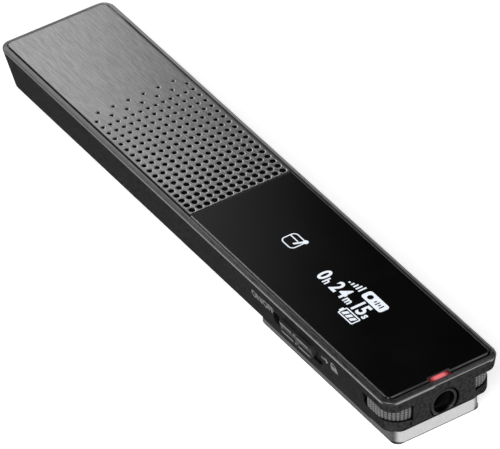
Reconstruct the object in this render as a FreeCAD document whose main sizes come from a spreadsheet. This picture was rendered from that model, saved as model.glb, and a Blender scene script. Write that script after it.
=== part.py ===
import FreeCAD, Part
import math
import operator
import os
from types import SimpleNamespace

import Sketcher

# Slim pocket voice recorder, in millimetres.
#
# Frame: X runs across the body and Y along it, with the display and the
# headphone socket towards -Y. Z is up, the front plate faces +Z and the belt
# clip is underneath. The origin is the centre of the underside of the clip.

SIZES = {
    # body outline
    "body_long": 102.0,
    "body_wide": 20.0,
    "corner_round": 2.0,
    "case_deep": 7.08,
    "side_draft": 0.21,
    "far_draft": 0.17,
    "end_wall_low": 1.6,
    "near_chamfer": 1.7,
    "back_round": 0.3,
    # clip
    "clip_gap": 1.5,
    "clip_thick": 0.8,
    "clip_wide": 15.0,
    "clip_inset": 1.35,
    "clip_long": 33.95,
    "clip_round": 1.6,
    "clip_lip_gap": 0.1,
    "clip_return": 2.4,
    "clip_slope": 4.0,
    "hinge_inset": 24.3,
    "pin_radius": 0.35,
    "pin_press": 0.01,
    "pin_running": 0.03,
    "lug_radius": 0.65,
    "lug_thick": 0.8,
    "lug_inside": 4.2,
    "lug_side_gap": 0.1,
    "bracket_wide": 11.0,
    "bracket_long": 6.8,
    "bracket_thick": 0.4,
    "bracket_screw_offset": 2.0,
    "spring_wire": 0.12,
    "spring_play": 0.03,
    "spring_pitch": 0.7,
    "spring_turns": 4.5,
    "spring_leg": 3.0,
    "spring_leg_rise": 8.5,
    # front rim
    "rim_chamfer_high": 0.32,
    "rim_wide": 0.75,
    "rim_flat": 0.12,
    "rim_tall": 0.95,
    "skirt_inset": 0.3,
    "skirt_thick": 0.75,
    "skirt_deep": 0.85,
    "bridge_near": 1.5,
    "bridge_far": 0.25,
    "bridge_thick": 0.5,
    # plate and window
    "plate_thick": 0.5,
    "plate_low": 0.05,
    "plate_gap_side": 0.41,
    "plate_gap_far": 0.15,
    "plate_round": 0.9,
    "window_gap_side": 0.2,
    "window_gap_near": 0.65,
    "window_round": 0.8,
    "window_reach": 51.3,
    "window_joint": 0.08,
    "tape_thick": 0.1,
    "tape_inset": 0.2,
    "tape_band": 0.7,
    # perforations
    "hole_radius_near": 0.51,
    "hole_radius_far": 0.26,
    "hole_pitch_across": 1.342,
    "hole_pitch_near": 1.3,
    "hole_pitch_far": 1.7,
    "hole_first": 0.8,
    "hole_rows": 13,
    "hole_columns": 19,
    # housing walls
    "floor_thick": 1.0,
    "side_wall": 2.4,
    "cavity_near": 1.8,
    "cavity_far": 2.2,
    "cavity_round": 2.0,
    "fit": 0.05,
    # speaker and display
    "mesh_margin": 0.3,
    "mesh_long": 28.2,
    "speaker_wide": 12.0,
    "speaker_long": 20.0,
    "speaker_beyond": 14.4,
    "speaker_round": 5.4,
    "speaker_gasket_wall": 0.8,
    "speaker_gasket_thick": 0.35,
    "oled_gap": 1.0,
    "oled_inset": 14.0,
    "oled_long": 29.0,
    "oled_thick": 1.15,
    "flex_wide": 6.0,
    "flex_thick": 0.15,
    "flex_reach": 1.5,
    "flex_foot": 2.5,
    # board
    "board_level": 3.6,
    "board_thick": 0.6,
    "board_gap": 1.1,
    "board_inset_near": 13.8,
    "board_inset_far": 2.6,
    "post_radius": 1.1,
    "screw_shank": 0.5,
    "screw_head": 1.0,
    "screw_head_thick": 0.5,
    "screw_deep": 1.8,
    "post_from_usb": 0.45,
    "post_inset_near": 15.1,
    "post_from_key": 0.6,
    "post_inset_far": 4.6,
    "chip_side": 7.0,
    "chip_thick": 0.9,
    "chip_inset": 36.0,
    "memory_wide": 9.0,
    "memory_long": 11.0,
    "memory_thick": 1.0,
    "memory_inset": 24.0,
    # battery
    "battery_gap": 1.3,
    "battery_from_key": 4.5,
    "battery_inset": 7.8,
    "battery_air": 0.1,
    "battery_round": 0.8,
    "pad_thick": 0.1,
    "pad_inset": 2.0,
    # headphone socket
    "jack_level": 3.2,
    "jack_bore": 1.8,
    "jack_ring": 2.35,
    "jack_hole": 2.55,
    "jack_recess": 0.1,
    "jack_deep": 12.3,
    "jack_back_wall": 1.0,
    "jack_wide": 5.8,
    "jack_cover": 0.35,
    "terminal_wide": 0.7,
    "terminal_thick": 0.25,
    "terminal_long": 1.6,
    "terminal_pitch": 2.0,
    # record light
    "light_wide": 3.3,
    "light_near": 0.55,
    "light_far": 1.65,
    "light_stem": 0.5,
    "light_foot": 1.4,
    "light_foot_thick": 0.35,
    "light_play": 0.05,
    "led_wide": 1.6,
    "led_long": 0.8,
    # microphones
    "mic_centre_in": 4.25,
    "mic_centre_up": 3.76,
    "mic_round": 3.5,
    "mic_thick": 0.65,
    "mic_low": 2.7,
    "mic_high": 5.3,
    "mic_bottom_gap": 0.25,
    "mic_side_reach": 2.94,
    "mic_side_gap": 0.6,
    "mic_end_reach": 0.35,
    "mic_ledge_round": 3.6,
    "mic_port": 0.5,
    "boot_long": 3.9,
    "boot_from_jack": 0.75,
    "boot_tall": 2.6,
    "capsule_radius": 1.05,
    "capsule_thick": 1.2,
    "capsule_front": 1.4,
    "rib_pitch": 0.33,
    "rib_wide": 0.2,
    "rib_deep": 0.14,
    # usb socket
    "usb_wide": 7.5,
    "usb_tall": 2.45,
    "usb_wall": 0.3,
    "usb_long": 5.1,
    "usb_inset": 1.6,
    "usb_back": 0.7,
    "usb_tongue_wide": 5.2,
    "usb_tongue_thick": 0.5,
    "usb_tongue_short": 0.5,
    "usb_round": 0.9,
    # slide switch on the left side
    "switch_inset": 23.25,
    "switch_level": 3.4,
    "switch_travel": 1.9,
    "knob_long": 8.1,
    "knob_tall": 2.3,
    "knob_proud": 0.3,
    "knob_play": 0.15,
    "knob_rib_long": 3.1,
    "knob_rib_tall": 0.5,
    "knob_rib_proud": 0.2,
    "knob_rib_gap": 1.1,
    "recess_deep": 0.6,
    "recess_round": 1.1,
    "stem_long": 2.0,
    "stem_tall": 0.7,
    "stem_low": 0.75,
    "stem_reach": 1.0,
    "slider_wide": 2.5,
    "slider_long": 8.4,
    "switch_tall": 1.3,
    # keys on the right side
    "key_inset": 13.0,
    "key_pitch": 7.2,
    "key_count": 7,
    "key_long": 5.8,
    "key_tall": 2.2,
    "key_level": 3.4,
    "key_round": 1.0,
    "key_proud": 0.3,
    "key_play": 0.08,
    "key_flange": 0.4,
    "key_flange_thick": 0.55,
    "key_flange_gap": 0.1,
    "key_travel": 0.2,
    "key_stop": 0.05,
    "tact_wide": 1.7,
    "tact_long": 3.2,
    "tact_nub": 0.6,
    "tact_nub_out": 0.1,
}

BACK_ROUND_STEPS = 2
HOLE_SIDES = 6
WIRE_SIDES = 6
WIRE_RUNS_PER_TURN = 16
KEY_NAMES = ["record_key", "stop_key", "play_key", "forward_key",
             "rewind_key", "back_key", "option_key"]

os.makedirs("parts", exist_ok=True)
doc = FreeCAD.newDocument("voice_recorder")


class Size:
    """A length with its value now and the spreadsheet formula that gives it."""

    def __init__(self, value, formula):
        self.value = value
        self.formula = formula

    def __add__(self, other):
        return joined(self, "+", other)

    def __radd__(self, other):
        return joined(other, "+", self)

    def __sub__(self, other):
        return joined(self, "-", other)

    def __rsub__(self, other):
        return joined(other, "-", self)

    def __mul__(self, other):
        return joined(self, "*", other)

    def __rmul__(self, other):
        return joined(other, "*", self)

    def __truediv__(self, other):
        return joined(self, "/", other)

    def __neg__(self):
        return joined(-1, "*", self)


SIGNS = {"+": operator.add, "-": operator.sub, "*": operator.mul, "/": operator.truediv}


def size(amount):
    """Gives any plain number the same form as a spreadsheet size."""
    if isinstance(amount, Size):
        return amount
    return Size(float(amount), repr(float(amount)))


def joined(left, sign, right):
    """Joins two sizes by an arithmetic sign, in value and in formula."""
    left = size(left)
    right = size(right)
    value = SIGNS[sign](left.value, right.value)
    return Size(value, f"({left.formula} {sign} {right.formula})")


def bind(thing, path, amount):
    """Ties one property of a document object to its spreadsheet formula."""
    thing.setExpression(path, size(amount).formula)


def make_sheet(sizes):
    """Writes the driving dimensions to the spreadsheet and names each cell."""
    sheet = doc.addObject("Spreadsheet::Sheet", "Sizes")
    named = SimpleNamespace()
    for row, (alias, value) in enumerate(sizes.items(), start=1):
        sheet.set(f"A{row}", alias)
        sheet.set(f"B{row}", str(value))
        sheet.setAlias(f"B{row}", alias)
        setattr(named, alias, Size(float(value), f"Sizes.{alias}"))
    doc.recompute()
    return named


s = make_sheet(SIZES)
PIECES = {}


def piece(label, thing):
    """Names a finished sub-part and lists it for the export."""
    thing.Label = label
    PIECES[label] = thing
    return thing


# ---------------------------------------------------------------- sketches


def disc(x, y, radius):
    """A circle as an outline."""
    return ("disc", x, y, radius)


def polygon(*corners):
    """A closed outline of corners (x, y) or (x, y, radius of a right-angled round)."""
    return ("polygon", [corner if len(corner) == 3 else (*corner, None) for corner in corners])


def rectangle(left, right, low, high, round_low=None, round_high=None):
    """An upright rectangle, with its low and its high corners rounded if wanted."""
    return polygon((left, low, round_low), (right, low, round_low),
                   (right, high, round_high), (left, high, round_high))


def rounded(left, right, low, high, radius):
    """An upright rectangle with four equal rounds."""
    return rectangle(left, right, low, high, radius, radius)


def toward(corner, other):
    """The point where a corner's round ends on its straight run to another corner."""
    x, y, radius = corner
    run_x = size(other[0]).value - size(x).value
    run_y = size(other[1]).value - size(y).value
    if abs(run_x) > abs(run_y):
        return (x + radius if run_x > 0 else x - radius, y)
    return (x, y + radius if run_y > 0 else y - radius)


def same_place(first, second):
    """Tells a run of no length, as where a round takes up a whole run."""
    gap_x = size(first[0]).value - size(second[0]).value
    gap_y = size(first[1]).value - size(second[1]).value
    return math.hypot(gap_x, gap_y) < 1e-6


def hold(sketch, kind, element, place, amount):
    """Holds one coordinate of a sketch point at a spreadsheet size."""
    if size(amount).value == 0 and "Sizes" not in size(amount).formula:
        axis = -2 if kind == "DistanceX" else -1
        sketch.addConstraint(Sketcher.Constraint("PointOnObject", element, place, axis))
        return
    rule = Sketcher.Constraint(kind, -1, 1, element, place, size(amount).value)
    index = sketch.addConstraint(rule)
    bind(sketch, f"Constraints[{index}]", amount)


def draw_disc(sketch, x, y, radius):
    """Draws a circle held by its centre and its radius."""
    middle = FreeCAD.Vector(size(x).value, size(y).value, 0)
    circle = Part.Circle(middle, FreeCAD.Vector(0, 0, 1), size(radius).value)
    element = sketch.addGeometry(circle, False)
    hold(sketch, "DistanceX", element, 3, x)
    hold(sketch, "DistanceY", element, 3, y)
    index = sketch.addConstraint(Sketcher.Constraint("Radius", element, size(radius).value))
    bind(sketch, f"Constraints[{index}]", radius)


def draw_polygon(sketch, corners):
    """Draws straight runs, with an arc at each rounded corner, held point by point."""
    stops = []
    for index, corner in enumerate(corners):
        if corner[2] is None:
            stops.append((corner[0], corner[1], None))
            continue
        enter = toward(corner, corners[index - 1])
        leave = toward(corner, corners[(index + 1) % len(corners)])
        stops.append((*enter, corner))
        stops.append((*leave, None))
    stops = [stop for index, stop in enumerate(stops)
             if stop[2] is not None or not same_place(stop, stops[(index + 1) % len(stops)])]
    ends = []
    for index, (x, y, corner) in enumerate(stops):
        after = stops[(index + 1) % len(stops)]
        start = FreeCAD.Vector(size(x).value, size(y).value, 0)
        finish = FreeCAD.Vector(size(after[0]).value, size(after[1]).value, 0)
        if corner is None:
            element = sketch.addGeometry(Part.LineSegment(start, finish), False)
            ends.append((element, 1, 2))
            continue
        tip = FreeCAD.Vector(size(corner[0]).value, size(corner[1]).value, 0)
        middle = start + finish - tip
        turn = (start - middle).cross(finish - middle).z
        first, last = (start, finish) if turn > 0 else (finish, start)
        first_angle = math.atan2(first.y - middle.y, first.x - middle.x)
        last_angle = math.atan2(last.y - middle.y, last.x - middle.x)
        if last_angle < first_angle:
            last_angle += 2 * math.pi
        circle = Part.Circle(middle, FreeCAD.Vector(0, 0, 1), size(corner[2]).value)
        element = sketch.addGeometry(Part.ArcOfCircle(circle, first_angle, last_angle), False)
        ends.append((element, 1, 2) if turn > 0 else (element, 2, 1))
        rule = Sketcher.Constraint("Radius", element, size(corner[2]).value)
        bind(sketch, f"Constraints[{sketch.addConstraint(rule)}]", corner[2])
    for index, (element, start_place, end_place) in enumerate(ends):
        following = ends[(index + 1) % len(ends)]
        sketch.addConstraint(Sketcher.Constraint("Coincident", element, end_place,
                                                 following[0], following[1]))
        hold(sketch, "DistanceX", element, start_place, stops[index][0])
        hold(sketch, "DistanceY", element, start_place, stops[index][1])


def make_sketch(body, plane, level, outlines, origin=(0.0, 0.0)):
    """Puts outlines on a sketch parallel to one of the body's own origin planes.

    XY sketches lie at height z = level, XZ sketches at y = level and YZ
    sketches at x = level. The normals of the three point to +Z, -Y and +X.
    The outlines are measured from origin, a point of the plane.
    """
    sketch = body.newObject("Sketcher::SketchObject", f"{body.Name}_sketch")
    role = f"{plane}_Plane"
    support = [item for item in body.Origin.OriginFeatures if item.Role == role][0]
    sketch.AttachmentSupport = [(support, "")]
    sketch.MapMode = "FlatFace"
    bind(sketch, "AttachmentOffset.Base.x", origin[0])
    bind(sketch, "AttachmentOffset.Base.y", origin[1])
    bind(sketch, "AttachmentOffset.Base.z", -level if plane == "XZ" else level)
    for outline in outlines:
        if outline[0] == "disc":
            draw_disc(sketch, *outline[1:])
        else:
            draw_polygon(sketch, outline[1])
    return sketch


def pad(body, plane, outlines, start, end):
    """Adds a prism between two levels of a plane."""
    feature_from(body, "PartDesign::Pad", plane, outlines, start, end)


def cut(body, plane, outlines, start, end, origin=(0.0, 0.0)):
    """Takes a prism away between two levels of a plane."""
    feature = feature_from(body, "PartDesign::Pocket", plane, outlines, start, end, origin)
    feature.Reversed = True
    return feature


def feature_from(body, kind, plane, outlines, start, end, origin=(0.0, 0.0)):
    """Makes a pad or pocket that runs along the sketch normal from start to end."""
    start, end = size(start), size(end)
    first, last = (end, start) if plane == "XZ" else (start, end)
    sketch = make_sketch(body, plane, first, outlines, origin)
    feature = body.newObject(kind, f"{body.Name}_{kind.split('::')[1].lower()}")
    feature.Profile = sketch
    length = first - last if plane == "XZ" else last - first
    bind(feature, "Length", length)
    sketch.Visibility = False
    return feature


def make_body(label):
    """Starts a part-design body for one piece."""
    body = doc.addObject("PartDesign::Body", label)
    return piece(label, body)


def loft(body, sections):
    """Joins outlines at rising levels by straight walls."""
    sketches = [make_sketch(body, "XY", level, [outline]) for level, outline in sections]
    feature = body.newObject("PartDesign::AdditiveLoft", f"{body.Name}_loft")
    feature.Profile = sketches[0]
    feature.Sections = sketches[1:]
    feature.Ruled = True
    return feature


# --------------------------------------------------- primitives and booleans


def block(name, left, right, near, far, low, high):
    """A plain box between six planes."""
    box = doc.addObject("Part::Box", name)
    bind(box, "Length", right - left)
    bind(box, "Width", far - near)
    bind(box, "Height", high - low)
    bind(box, "Placement.Base.x", left)
    bind(box, "Placement.Base.y", near)
    bind(box, "Placement.Base.z", low)
    return box


TURNS = {
    "+X": FreeCAD.Rotation(FreeCAD.Vector(0, 1, 0), 90),
    "+Y": FreeCAD.Rotation(FreeCAD.Vector(1, 0, 0), -90),
    "+Z": FreeCAD.Rotation(),
}


def rod(name, axis, x, y, z, radius, length):
    """A round bar that starts at a point and runs along an axis."""
    bar = doc.addObject("Part::Cylinder", name)
    bar.Placement = FreeCAD.Placement(FreeCAD.Vector(), TURNS[axis])
    bind(bar, "Radius", radius)
    bind(bar, "Height", length)
    bind(bar, "Placement.Base.x", x)
    bind(bar, "Placement.Base.y", y)
    bind(bar, "Placement.Base.z", z)
    return bar


def minus(name, base, tool):
    """One shape with another taken away."""
    result = doc.addObject("Part::Cut", name)
    result.Base = base
    result.Tool = tool
    return result


def together(name, shapes):
    """Several shapes grown into one."""
    result = doc.addObject("Part::MultiFuse", name)
    result.Shapes = shapes
    return result


def common(name, first, second):
    """The space that two shapes share."""
    result = doc.addObject("Part::Common", name)
    result.Base = first
    result.Tool = second
    return result


def group(label, shapes):
    """Like pieces that stay separate solids in one node."""
    result = doc.addObject("Part::Compound", label)
    result.Links = shapes
    return piece(label, result)


# ------------------------------------------------------------- main levels

z_back = s.clip_thick + s.clip_gap
z_wide = z_back + s.case_deep
z_top = z_wide + s.rim_chamfer_high
z_seam = z_top - s.rim_tall
z_plate_top = z_top - s.plate_low
z_plate = z_plate_top - s.plate_thick
z_ledge = z_plate - s.tape_thick
z_skirt = z_ledge - s.skirt_deep
z_floor = z_back + s.floor_thick
z_board = z_back + s.board_level
z_board_top = z_board + s.board_thick
z_end_wall = z_back + s.end_wall_low
z_jack = z_back + s.jack_level
z_switch = z_back + s.switch_level
z_key = z_back + s.key_level
z_pin = s.clip_thick + s.clip_gap / 2

half_wide = s.body_wide / 2
half_long = s.body_long / 2
opening_wide = half_wide - s.rim_wide
opening_long = half_long - s.rim_wide
skirt_wide = opening_wide - s.skirt_inset
skirt_long = opening_long - s.skirt_inset
ledge_wide = skirt_wide - s.skirt_thick
ledge_long = skirt_long - s.skirt_thick
cavity_half = half_wide - s.side_wall
cavity_near = s.cavity_near - half_long
cavity_far = half_long - s.cavity_far
board_half = cavity_half - s.board_gap
opening_round = s.corner_round - s.rim_wide
skirt_round = opening_round - s.skirt_inset

first_key_y = s.key_inset - half_long
last_key_y = first_key_y + s.key_pitch * (s.key_count - 1)
board_near = s.board_inset_near - half_long
board_far = half_long - s.board_inset_far
post_side = s.usb_wide / 2 + s.post_radius + s.post_from_usb
post_near = s.post_inset_near - half_long
post_middle = last_key_y - s.post_from_key
post_far = half_long - s.post_inset_far
chip_y = s.chip_inset - half_long
memory_y = s.memory_inset - half_long
battery_far = half_long - s.battery_inset
battery_near = last_key_y + s.battery_from_key
battery_half = cavity_half - s.battery_gap
usb_far = half_long - s.usb_inset
usb_near = usb_far - s.usb_long
oled_near = s.oled_inset - half_long
oled_far = oled_near + s.oled_long
window_start = s.window_reach - half_long
speaker_y = window_start + s.speaker_beyond
switch_y = s.switch_inset - half_long
hinge_y = s.hinge_inset - half_long
clip_near = s.clip_inset - half_long
clip_far = clip_near + s.clip_long

mic_x = half_wide - s.mic_centre_in
mic_y = s.mic_centre_up - half_long
mic_back = s.mic_round - s.mic_thick


def wall_x(level):
    """Half width of the body at a height at or below its widest line."""
    return half_wide - s.side_draft * (z_wide - level)


def wall_far(level):
    """Y of the far end wall at a height at or below its widest line."""
    return half_long - s.far_draft * (z_wide - level)


def near_end(level):
    """Y of the near end: upright above the end wall's low edge, chamfered under it."""
    under = z_end_wall - level
    return s.near_chamfer * (under / s.end_wall_low) - half_long


def body_outline(level, near, inset=0.0):
    """The body's outline at a height at or below its widest line."""
    return rounded(inset - wall_x(level), wall_x(level) - inset, near + inset,
                   wall_far(level) - inset, s.corner_round)


def envelope(body):
    """The drafted housing form below the rim, rounded and chamfered under its near end."""
    sections = []
    for step in range(BACK_ROUND_STEPS + 1):
        angle = math.pi / 2 * step / BACK_ROUND_STEPS
        level = z_back + s.back_round * (1 - math.cos(angle))
        inset = s.back_round * (1 - math.sin(angle))
        sections.append((level, body_outline(level, near_end(level), inset)))
    sections.append((z_end_wall, body_outline(z_end_wall, -half_long)))
    sections.append((z_seam, body_outline(z_seam, -half_long)))
    loft(body, sections)


# --------------------------------------------------------------- housing


def screw_places():
    """Where the board is screwed to the posts of the rear case."""
    return [(-post_side, post_near), (-post_side, post_middle),
            (-post_side, post_far), (post_side, post_far)]


def key_place(index):
    """Y of the middle of one key."""
    return first_key_y + s.key_pitch * index


def mic_window(side, radius, reach_end, reach_side):
    """The corner region outside a quarter round that a microphone opening takes."""
    outside = half_wide + 1
    beyond = -half_long - 1
    return polygon((side * (mic_x - reach_end), beyond),
                   (side * (mic_x - reach_end), mic_y - radius),
                   (side * (mic_x + radius), mic_y - radius, radius),
                   (side * (mic_x + radius), mic_y + reach_side),
                   (side * outside, mic_y + reach_side),
                   (side * outside, beyond))


def rear_case():
    """The drafted tub with its seat for the rim, posts and every opening."""
    body = make_body("rear_case")
    envelope(body)
    hollow = rounded(-cavity_half, cavity_half, cavity_near, cavity_far, s.cavity_round)
    cut(body, "XY", [hollow], z_floor, z_seam)
    seat = rounded(-skirt_wide - s.fit, skirt_wide + s.fit, -skirt_long - s.fit,
                   skirt_long + s.fit, skirt_round + s.fit)
    cut(body, "XY", [seat], z_skirt, z_seam)
    recess = mic_back - s.fit
    for side in (-1, 1):
        window = mic_window(side, recess, s.mic_end_reach, s.mic_side_reach)
        cut(body, "XY", [window], z_back + s.mic_low, z_back + s.mic_high)
        ledge = mic_window(side, s.mic_ledge_round, 0, 0)
        cut(body, "XY", [ledge], z_back - 1, z_back + s.mic_low)
    posts = [disc(x, y, s.post_radius) for x, y in screw_places()]
    for post in posts:
        pad(body, "XY", [post], z_floor - s.floor_thick / 2, z_board)
    pilots = [disc(x, y, s.screw_shank + s.fit) for x, y in screw_places()]
    cut(body, "XY", pilots, z_board - s.screw_deep, z_board)
    cut(body, "XZ", [disc(size(0), z_jack, s.jack_hole)], -half_long - 1, cavity_near + 0.1)
    usb_play = s.fit * 2
    usb_mouth = rounded(-s.usb_wide / 2 - usb_play, s.usb_wide / 2 + usb_play,
                        z_board - s.usb_tall - usb_play, z_board + usb_play, s.usb_round)
    cut(body, "XZ", [usb_mouth], cavity_far - 0.1, half_long + 1)
    keys = []
    for index in range(int(s.key_count.value)):
        reach = s.key_long / 2 + s.key_play
        rise = s.key_tall / 2 + s.key_play
        keys.append(rounded(key_place(index) - reach, key_place(index) + reach,
                            z_key - rise, z_key + rise, s.key_round))
    cut(body, "YZ", keys, cavity_half - 0.1, half_wide + 1)
    reach = s.knob_long / 2 + s.switch_travel + s.knob_play
    rise = s.knob_tall / 2 + s.knob_play
    recess = rounded(switch_y - reach, switch_y + reach,
                     z_switch - rise, z_switch + rise, s.recess_round)
    recess_floor = s.recess_deep - wall_x(z_switch)
    cut(body, "YZ", [recess], -half_wide - 1, recess_floor)
    reach = s.stem_long / 2 + s.switch_travel + s.knob_play
    stem_z = z_switch - s.stem_low
    slot = rectangle(switch_y - reach, switch_y + reach,
                     stem_z - s.fit, stem_z + s.stem_tall + s.fit)
    cut(body, "YZ", [slot], recess_floor - 0.1, -cavity_half + 0.1)
    bracket = rectangle(-s.bracket_wide / 2 - s.fit, s.bracket_wide / 2 + s.fit,
                        hinge_y - s.bracket_long / 2 - s.fit,
                        hinge_y + s.bracket_long / 2 + s.fit)
    cut(body, "XY", [bracket], z_back - 1, z_back + s.bracket_thick)
    cut(body, "XY", bracket_holes(), z_back, z_floor - s.fit * 3)
    for side in (-1, 1):
        port = body.newObject("PartDesign::SubtractiveCylinder", "mic_port")
        support = [item for item in body.Origin.OriginFeatures if item.Role == "XY_Plane"][0]
        port.AttachmentSupport = [(support, "")]
        port.MapMode = "FlatFace"
        port.AttachmentOffset = FreeCAD.Placement(FreeCAD.Vector(), mic_turn(side))
        bind(port, "AttachmentOffset.Base.x", side * mic_x)
        bind(port, "AttachmentOffset.Base.y", mic_y)
        bind(port, "AttachmentOffset.Base.z", mic_mid)
        bind(port, "Radius", s.mic_port)
        bind(port, "Height", s.mic_round)
    return body


def bracket_screw_places():
    """The bracket's two screws stand on a diagonal, clear of pin, lugs and spring."""
    aside = s.lug_inside - s.screw_head - s.fit * 2
    return [(side * aside, hinge_y - side * s.bracket_screw_offset)
            for side in (-1, 1)]


def bracket_holes():
    """Clearance holes for the bracket's screws."""
    return [disc(x, y, s.screw_shank + s.fit) for x, y in bracket_screw_places()]


mic_mid = z_back + (s.mic_low + s.mic_high) / 2


def mic_turn(side):
    """Turns +Z to the outward diagonal of a near corner, level with the body."""
    return FreeCAD.Rotation(FreeCAD.Vector(0, 0, 1), FreeCAD.Vector(side, -1, 0))


def front_rim():
    """The chamfered frame with its ledge for plate and window and its skirt."""
    body = make_body("front_rim")
    inset = s.rim_wide - s.rim_flat
    top = rounded(inset - half_wide, half_wide - inset, inset - half_long,
                  half_long - inset, s.corner_round - inset)
    loft(body, [(z_seam, body_outline(z_seam, -half_long)),
                (z_wide, body_outline(z_wide, -half_long)),
                (z_top, top)])
    skirt = rounded(-skirt_wide, skirt_wide, -skirt_long, skirt_long, skirt_round)
    pad(body, "XY", [skirt], z_skirt, z_seam)
    opening = rounded(-opening_wide, opening_wide, -opening_long, opening_long, opening_round)
    cut(body, "XY", [opening], z_ledge, z_top + 1)
    inner = rounded(-ledge_wide, ledge_wide, -ledge_long, ledge_long, s.plate_round)
    cut(body, "XY", [inner], z_skirt - 1, z_ledge)
    bridge = rectangle(-ledge_wide - s.fit, ledge_wide + s.fit,
                       window_start - s.bridge_near, window_start + s.bridge_far)
    pad(body, "XY", [bridge], z_ledge - s.bridge_thick, z_ledge)
    reach = s.light_wide / 2 + s.light_play
    notch = rectangle(-reach, reach, s.light_near - s.light_play - half_long,
                      s.light_far - half_long)
    cut(body, "XY", [notch], z_ledge, z_top + 1)
    lower = rectangle(-reach, reach, light_stem_near - s.light_play, -ledge_long + 0.1)
    cut(body, "XY", [lower], z_skirt - 1, z_ledge)
    return body


light_stem_near = s.light_far - half_long - s.light_stem

# ----------------------------------------------------- plate and window

plate_half = opening_wide - s.plate_gap_side
plate_near = window_start + s.window_joint / 2
plate_far = opening_long - s.plate_gap_far
window_half = opening_wide - s.window_gap_side
window_near = s.window_gap_near - opening_long
window_far = window_start - s.window_joint / 2


def hole_columns():
    """Distance from the window and radius of each column of perforations.

    The pitch and the radius both change evenly from the window to the far end.
    """
    columns = []
    last = int(s.hole_columns.value) - 1
    place = window_start + s.hole_first
    for index in range(last + 1):
        share = index / last
        radius = s.hole_radius_near + (s.hole_radius_far - s.hole_radius_near) * share
        columns.append((place, radius))
        step = (index + 0.5) / last
        place = place + s.hole_pitch_near + (s.hole_pitch_far - s.hole_pitch_near) * step
    return columns


def front_plate():
    """The aluminium plate with its field of perforations, fading out at its far end."""
    blank = make_body("plate_blank")
    del PIECES["plate_blank"]
    outline = rectangle(-plate_half, plate_half, plate_near, plate_far, None, s.plate_round)
    pad(blank, "XY", [outline], z_plate, z_plate_top)
    rows = int(s.hole_rows.value)
    columns = hole_columns()
    punches = []
    for index, (place, radius) in enumerate(columns):
        from_end = len(columns) - 1 - index
        stride = 1 if from_end > 1 else 2
        count = {0: rows // 2, 1: rows // 2 + 1}.get(from_end, rows)
        start = -s.hole_pitch_across * ((count - 1) * stride / 2)
        for step in range(count):
            across = start + s.hole_pitch_across * (stride * step)
            punches.append(punch(across, place, radius))
    field = doc.addObject("Part::Compound", "hole_field")
    field.Links = punches
    piece("front_plate", minus("front_plate", blank, field))


def punch(x, y, radius):
    """One perforation, an eight-sided prism that runs through the plate."""
    tool = doc.addObject("Part::Prism", "hole")
    tool.Polygon = HOLE_SIDES
    bind(tool, "Circumradius", radius)
    bind(tool, "Height", s.plate_thick * 3)
    bind(tool, "Placement.Base.x", x)
    bind(tool, "Placement.Base.y", y)
    bind(tool, "Placement.Base.z", z_plate - s.plate_thick)
    return tool


def display_window():
    """The dark glass, notched for the record light."""
    body = make_body("display_window")
    outline = rectangle(-window_half, window_half, window_near, window_far,
                        s.window_round, None)
    pad(body, "XY", [outline], z_plate, z_plate_top)
    reach = s.light_wide / 2 + s.light_play
    notch = rectangle(-reach, reach, window_near - 1, s.light_far - half_long)
    cut(body, "XY", [notch], z_plate - 1, z_plate_top + 1)
    return body


def tape_frame(label, half, near, far):
    """A thin adhesive frame on the rim's ledge, open towards -Y."""
    body = make_body(label)
    pad(body, "XY", [rectangle(-half, half, near, far)], z_ledge, z_plate)
    inner = rectangle(-ledge_wide, ledge_wide, near - 1, far - s.tape_band)
    cut(body, "XY", [inner], z_ledge - 1, z_plate + 1)
    return body


# ------------------------------------------------------ speaker and display


def speaker_stack():
    """Mesh under the plate, gasket, and an oblong speaker that stands on the board."""
    mesh_far = plate_near + s.mesh_margin + s.mesh_long
    mesh = block("speaker_mesh", s.mesh_margin - ledge_wide, ledge_wide - s.mesh_margin,
                 plate_near + s.mesh_margin, mesh_far, z_ledge, z_plate)
    piece("speaker_mesh", mesh)
    half = s.speaker_wide / 2
    near = speaker_y - s.speaker_long / 2
    far = speaker_y + s.speaker_long / 2
    gasket_low = z_ledge - s.speaker_gasket_thick
    body = make_body("speaker_gasket")
    outer = rounded(-half, half, near, far, s.speaker_round)
    wall = s.speaker_gasket_wall
    inner = rounded(wall - half, half - wall, near + wall, far - wall, s.speaker_round - wall)
    pad(body, "XY", [outer], gasket_low, z_ledge)
    cut(body, "XY", [inner], gasket_low - 1, z_ledge + 1)
    body = make_body("speaker")
    pad(body, "XY", [outer], z_board_top, gasket_low)
    cut(body, "XY", [inner], gasket_low - s.speaker_gasket_thick, gasket_low)


def display_stack():
    """The display panel under the glass and the strip that joins it to the board."""
    low = z_plate - s.oled_thick
    half = cavity_half - s.oled_gap
    piece("oled_panel", block("oled_panel", -half, half, oled_near, oled_far,
                              low, z_plate))
    body = make_body("oled_flex")
    top = low + s.flex_thick * 2
    turn = oled_far + s.flex_reach
    foot = turn + s.flex_foot
    strip = polygon((oled_far, top), (turn, top), (turn, z_board_top + s.flex_thick),
                    (foot, z_board_top + s.flex_thick), (foot, z_board_top),
                    (turn - s.flex_thick, z_board_top),
                    (turn - s.flex_thick, top - s.flex_thick),
                    (oled_far, top - s.flex_thick))
    pad(body, "YZ", [strip], -s.flex_wide / 2, s.flex_wide / 2)


# ------------------------------------------------------------------- board


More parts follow.
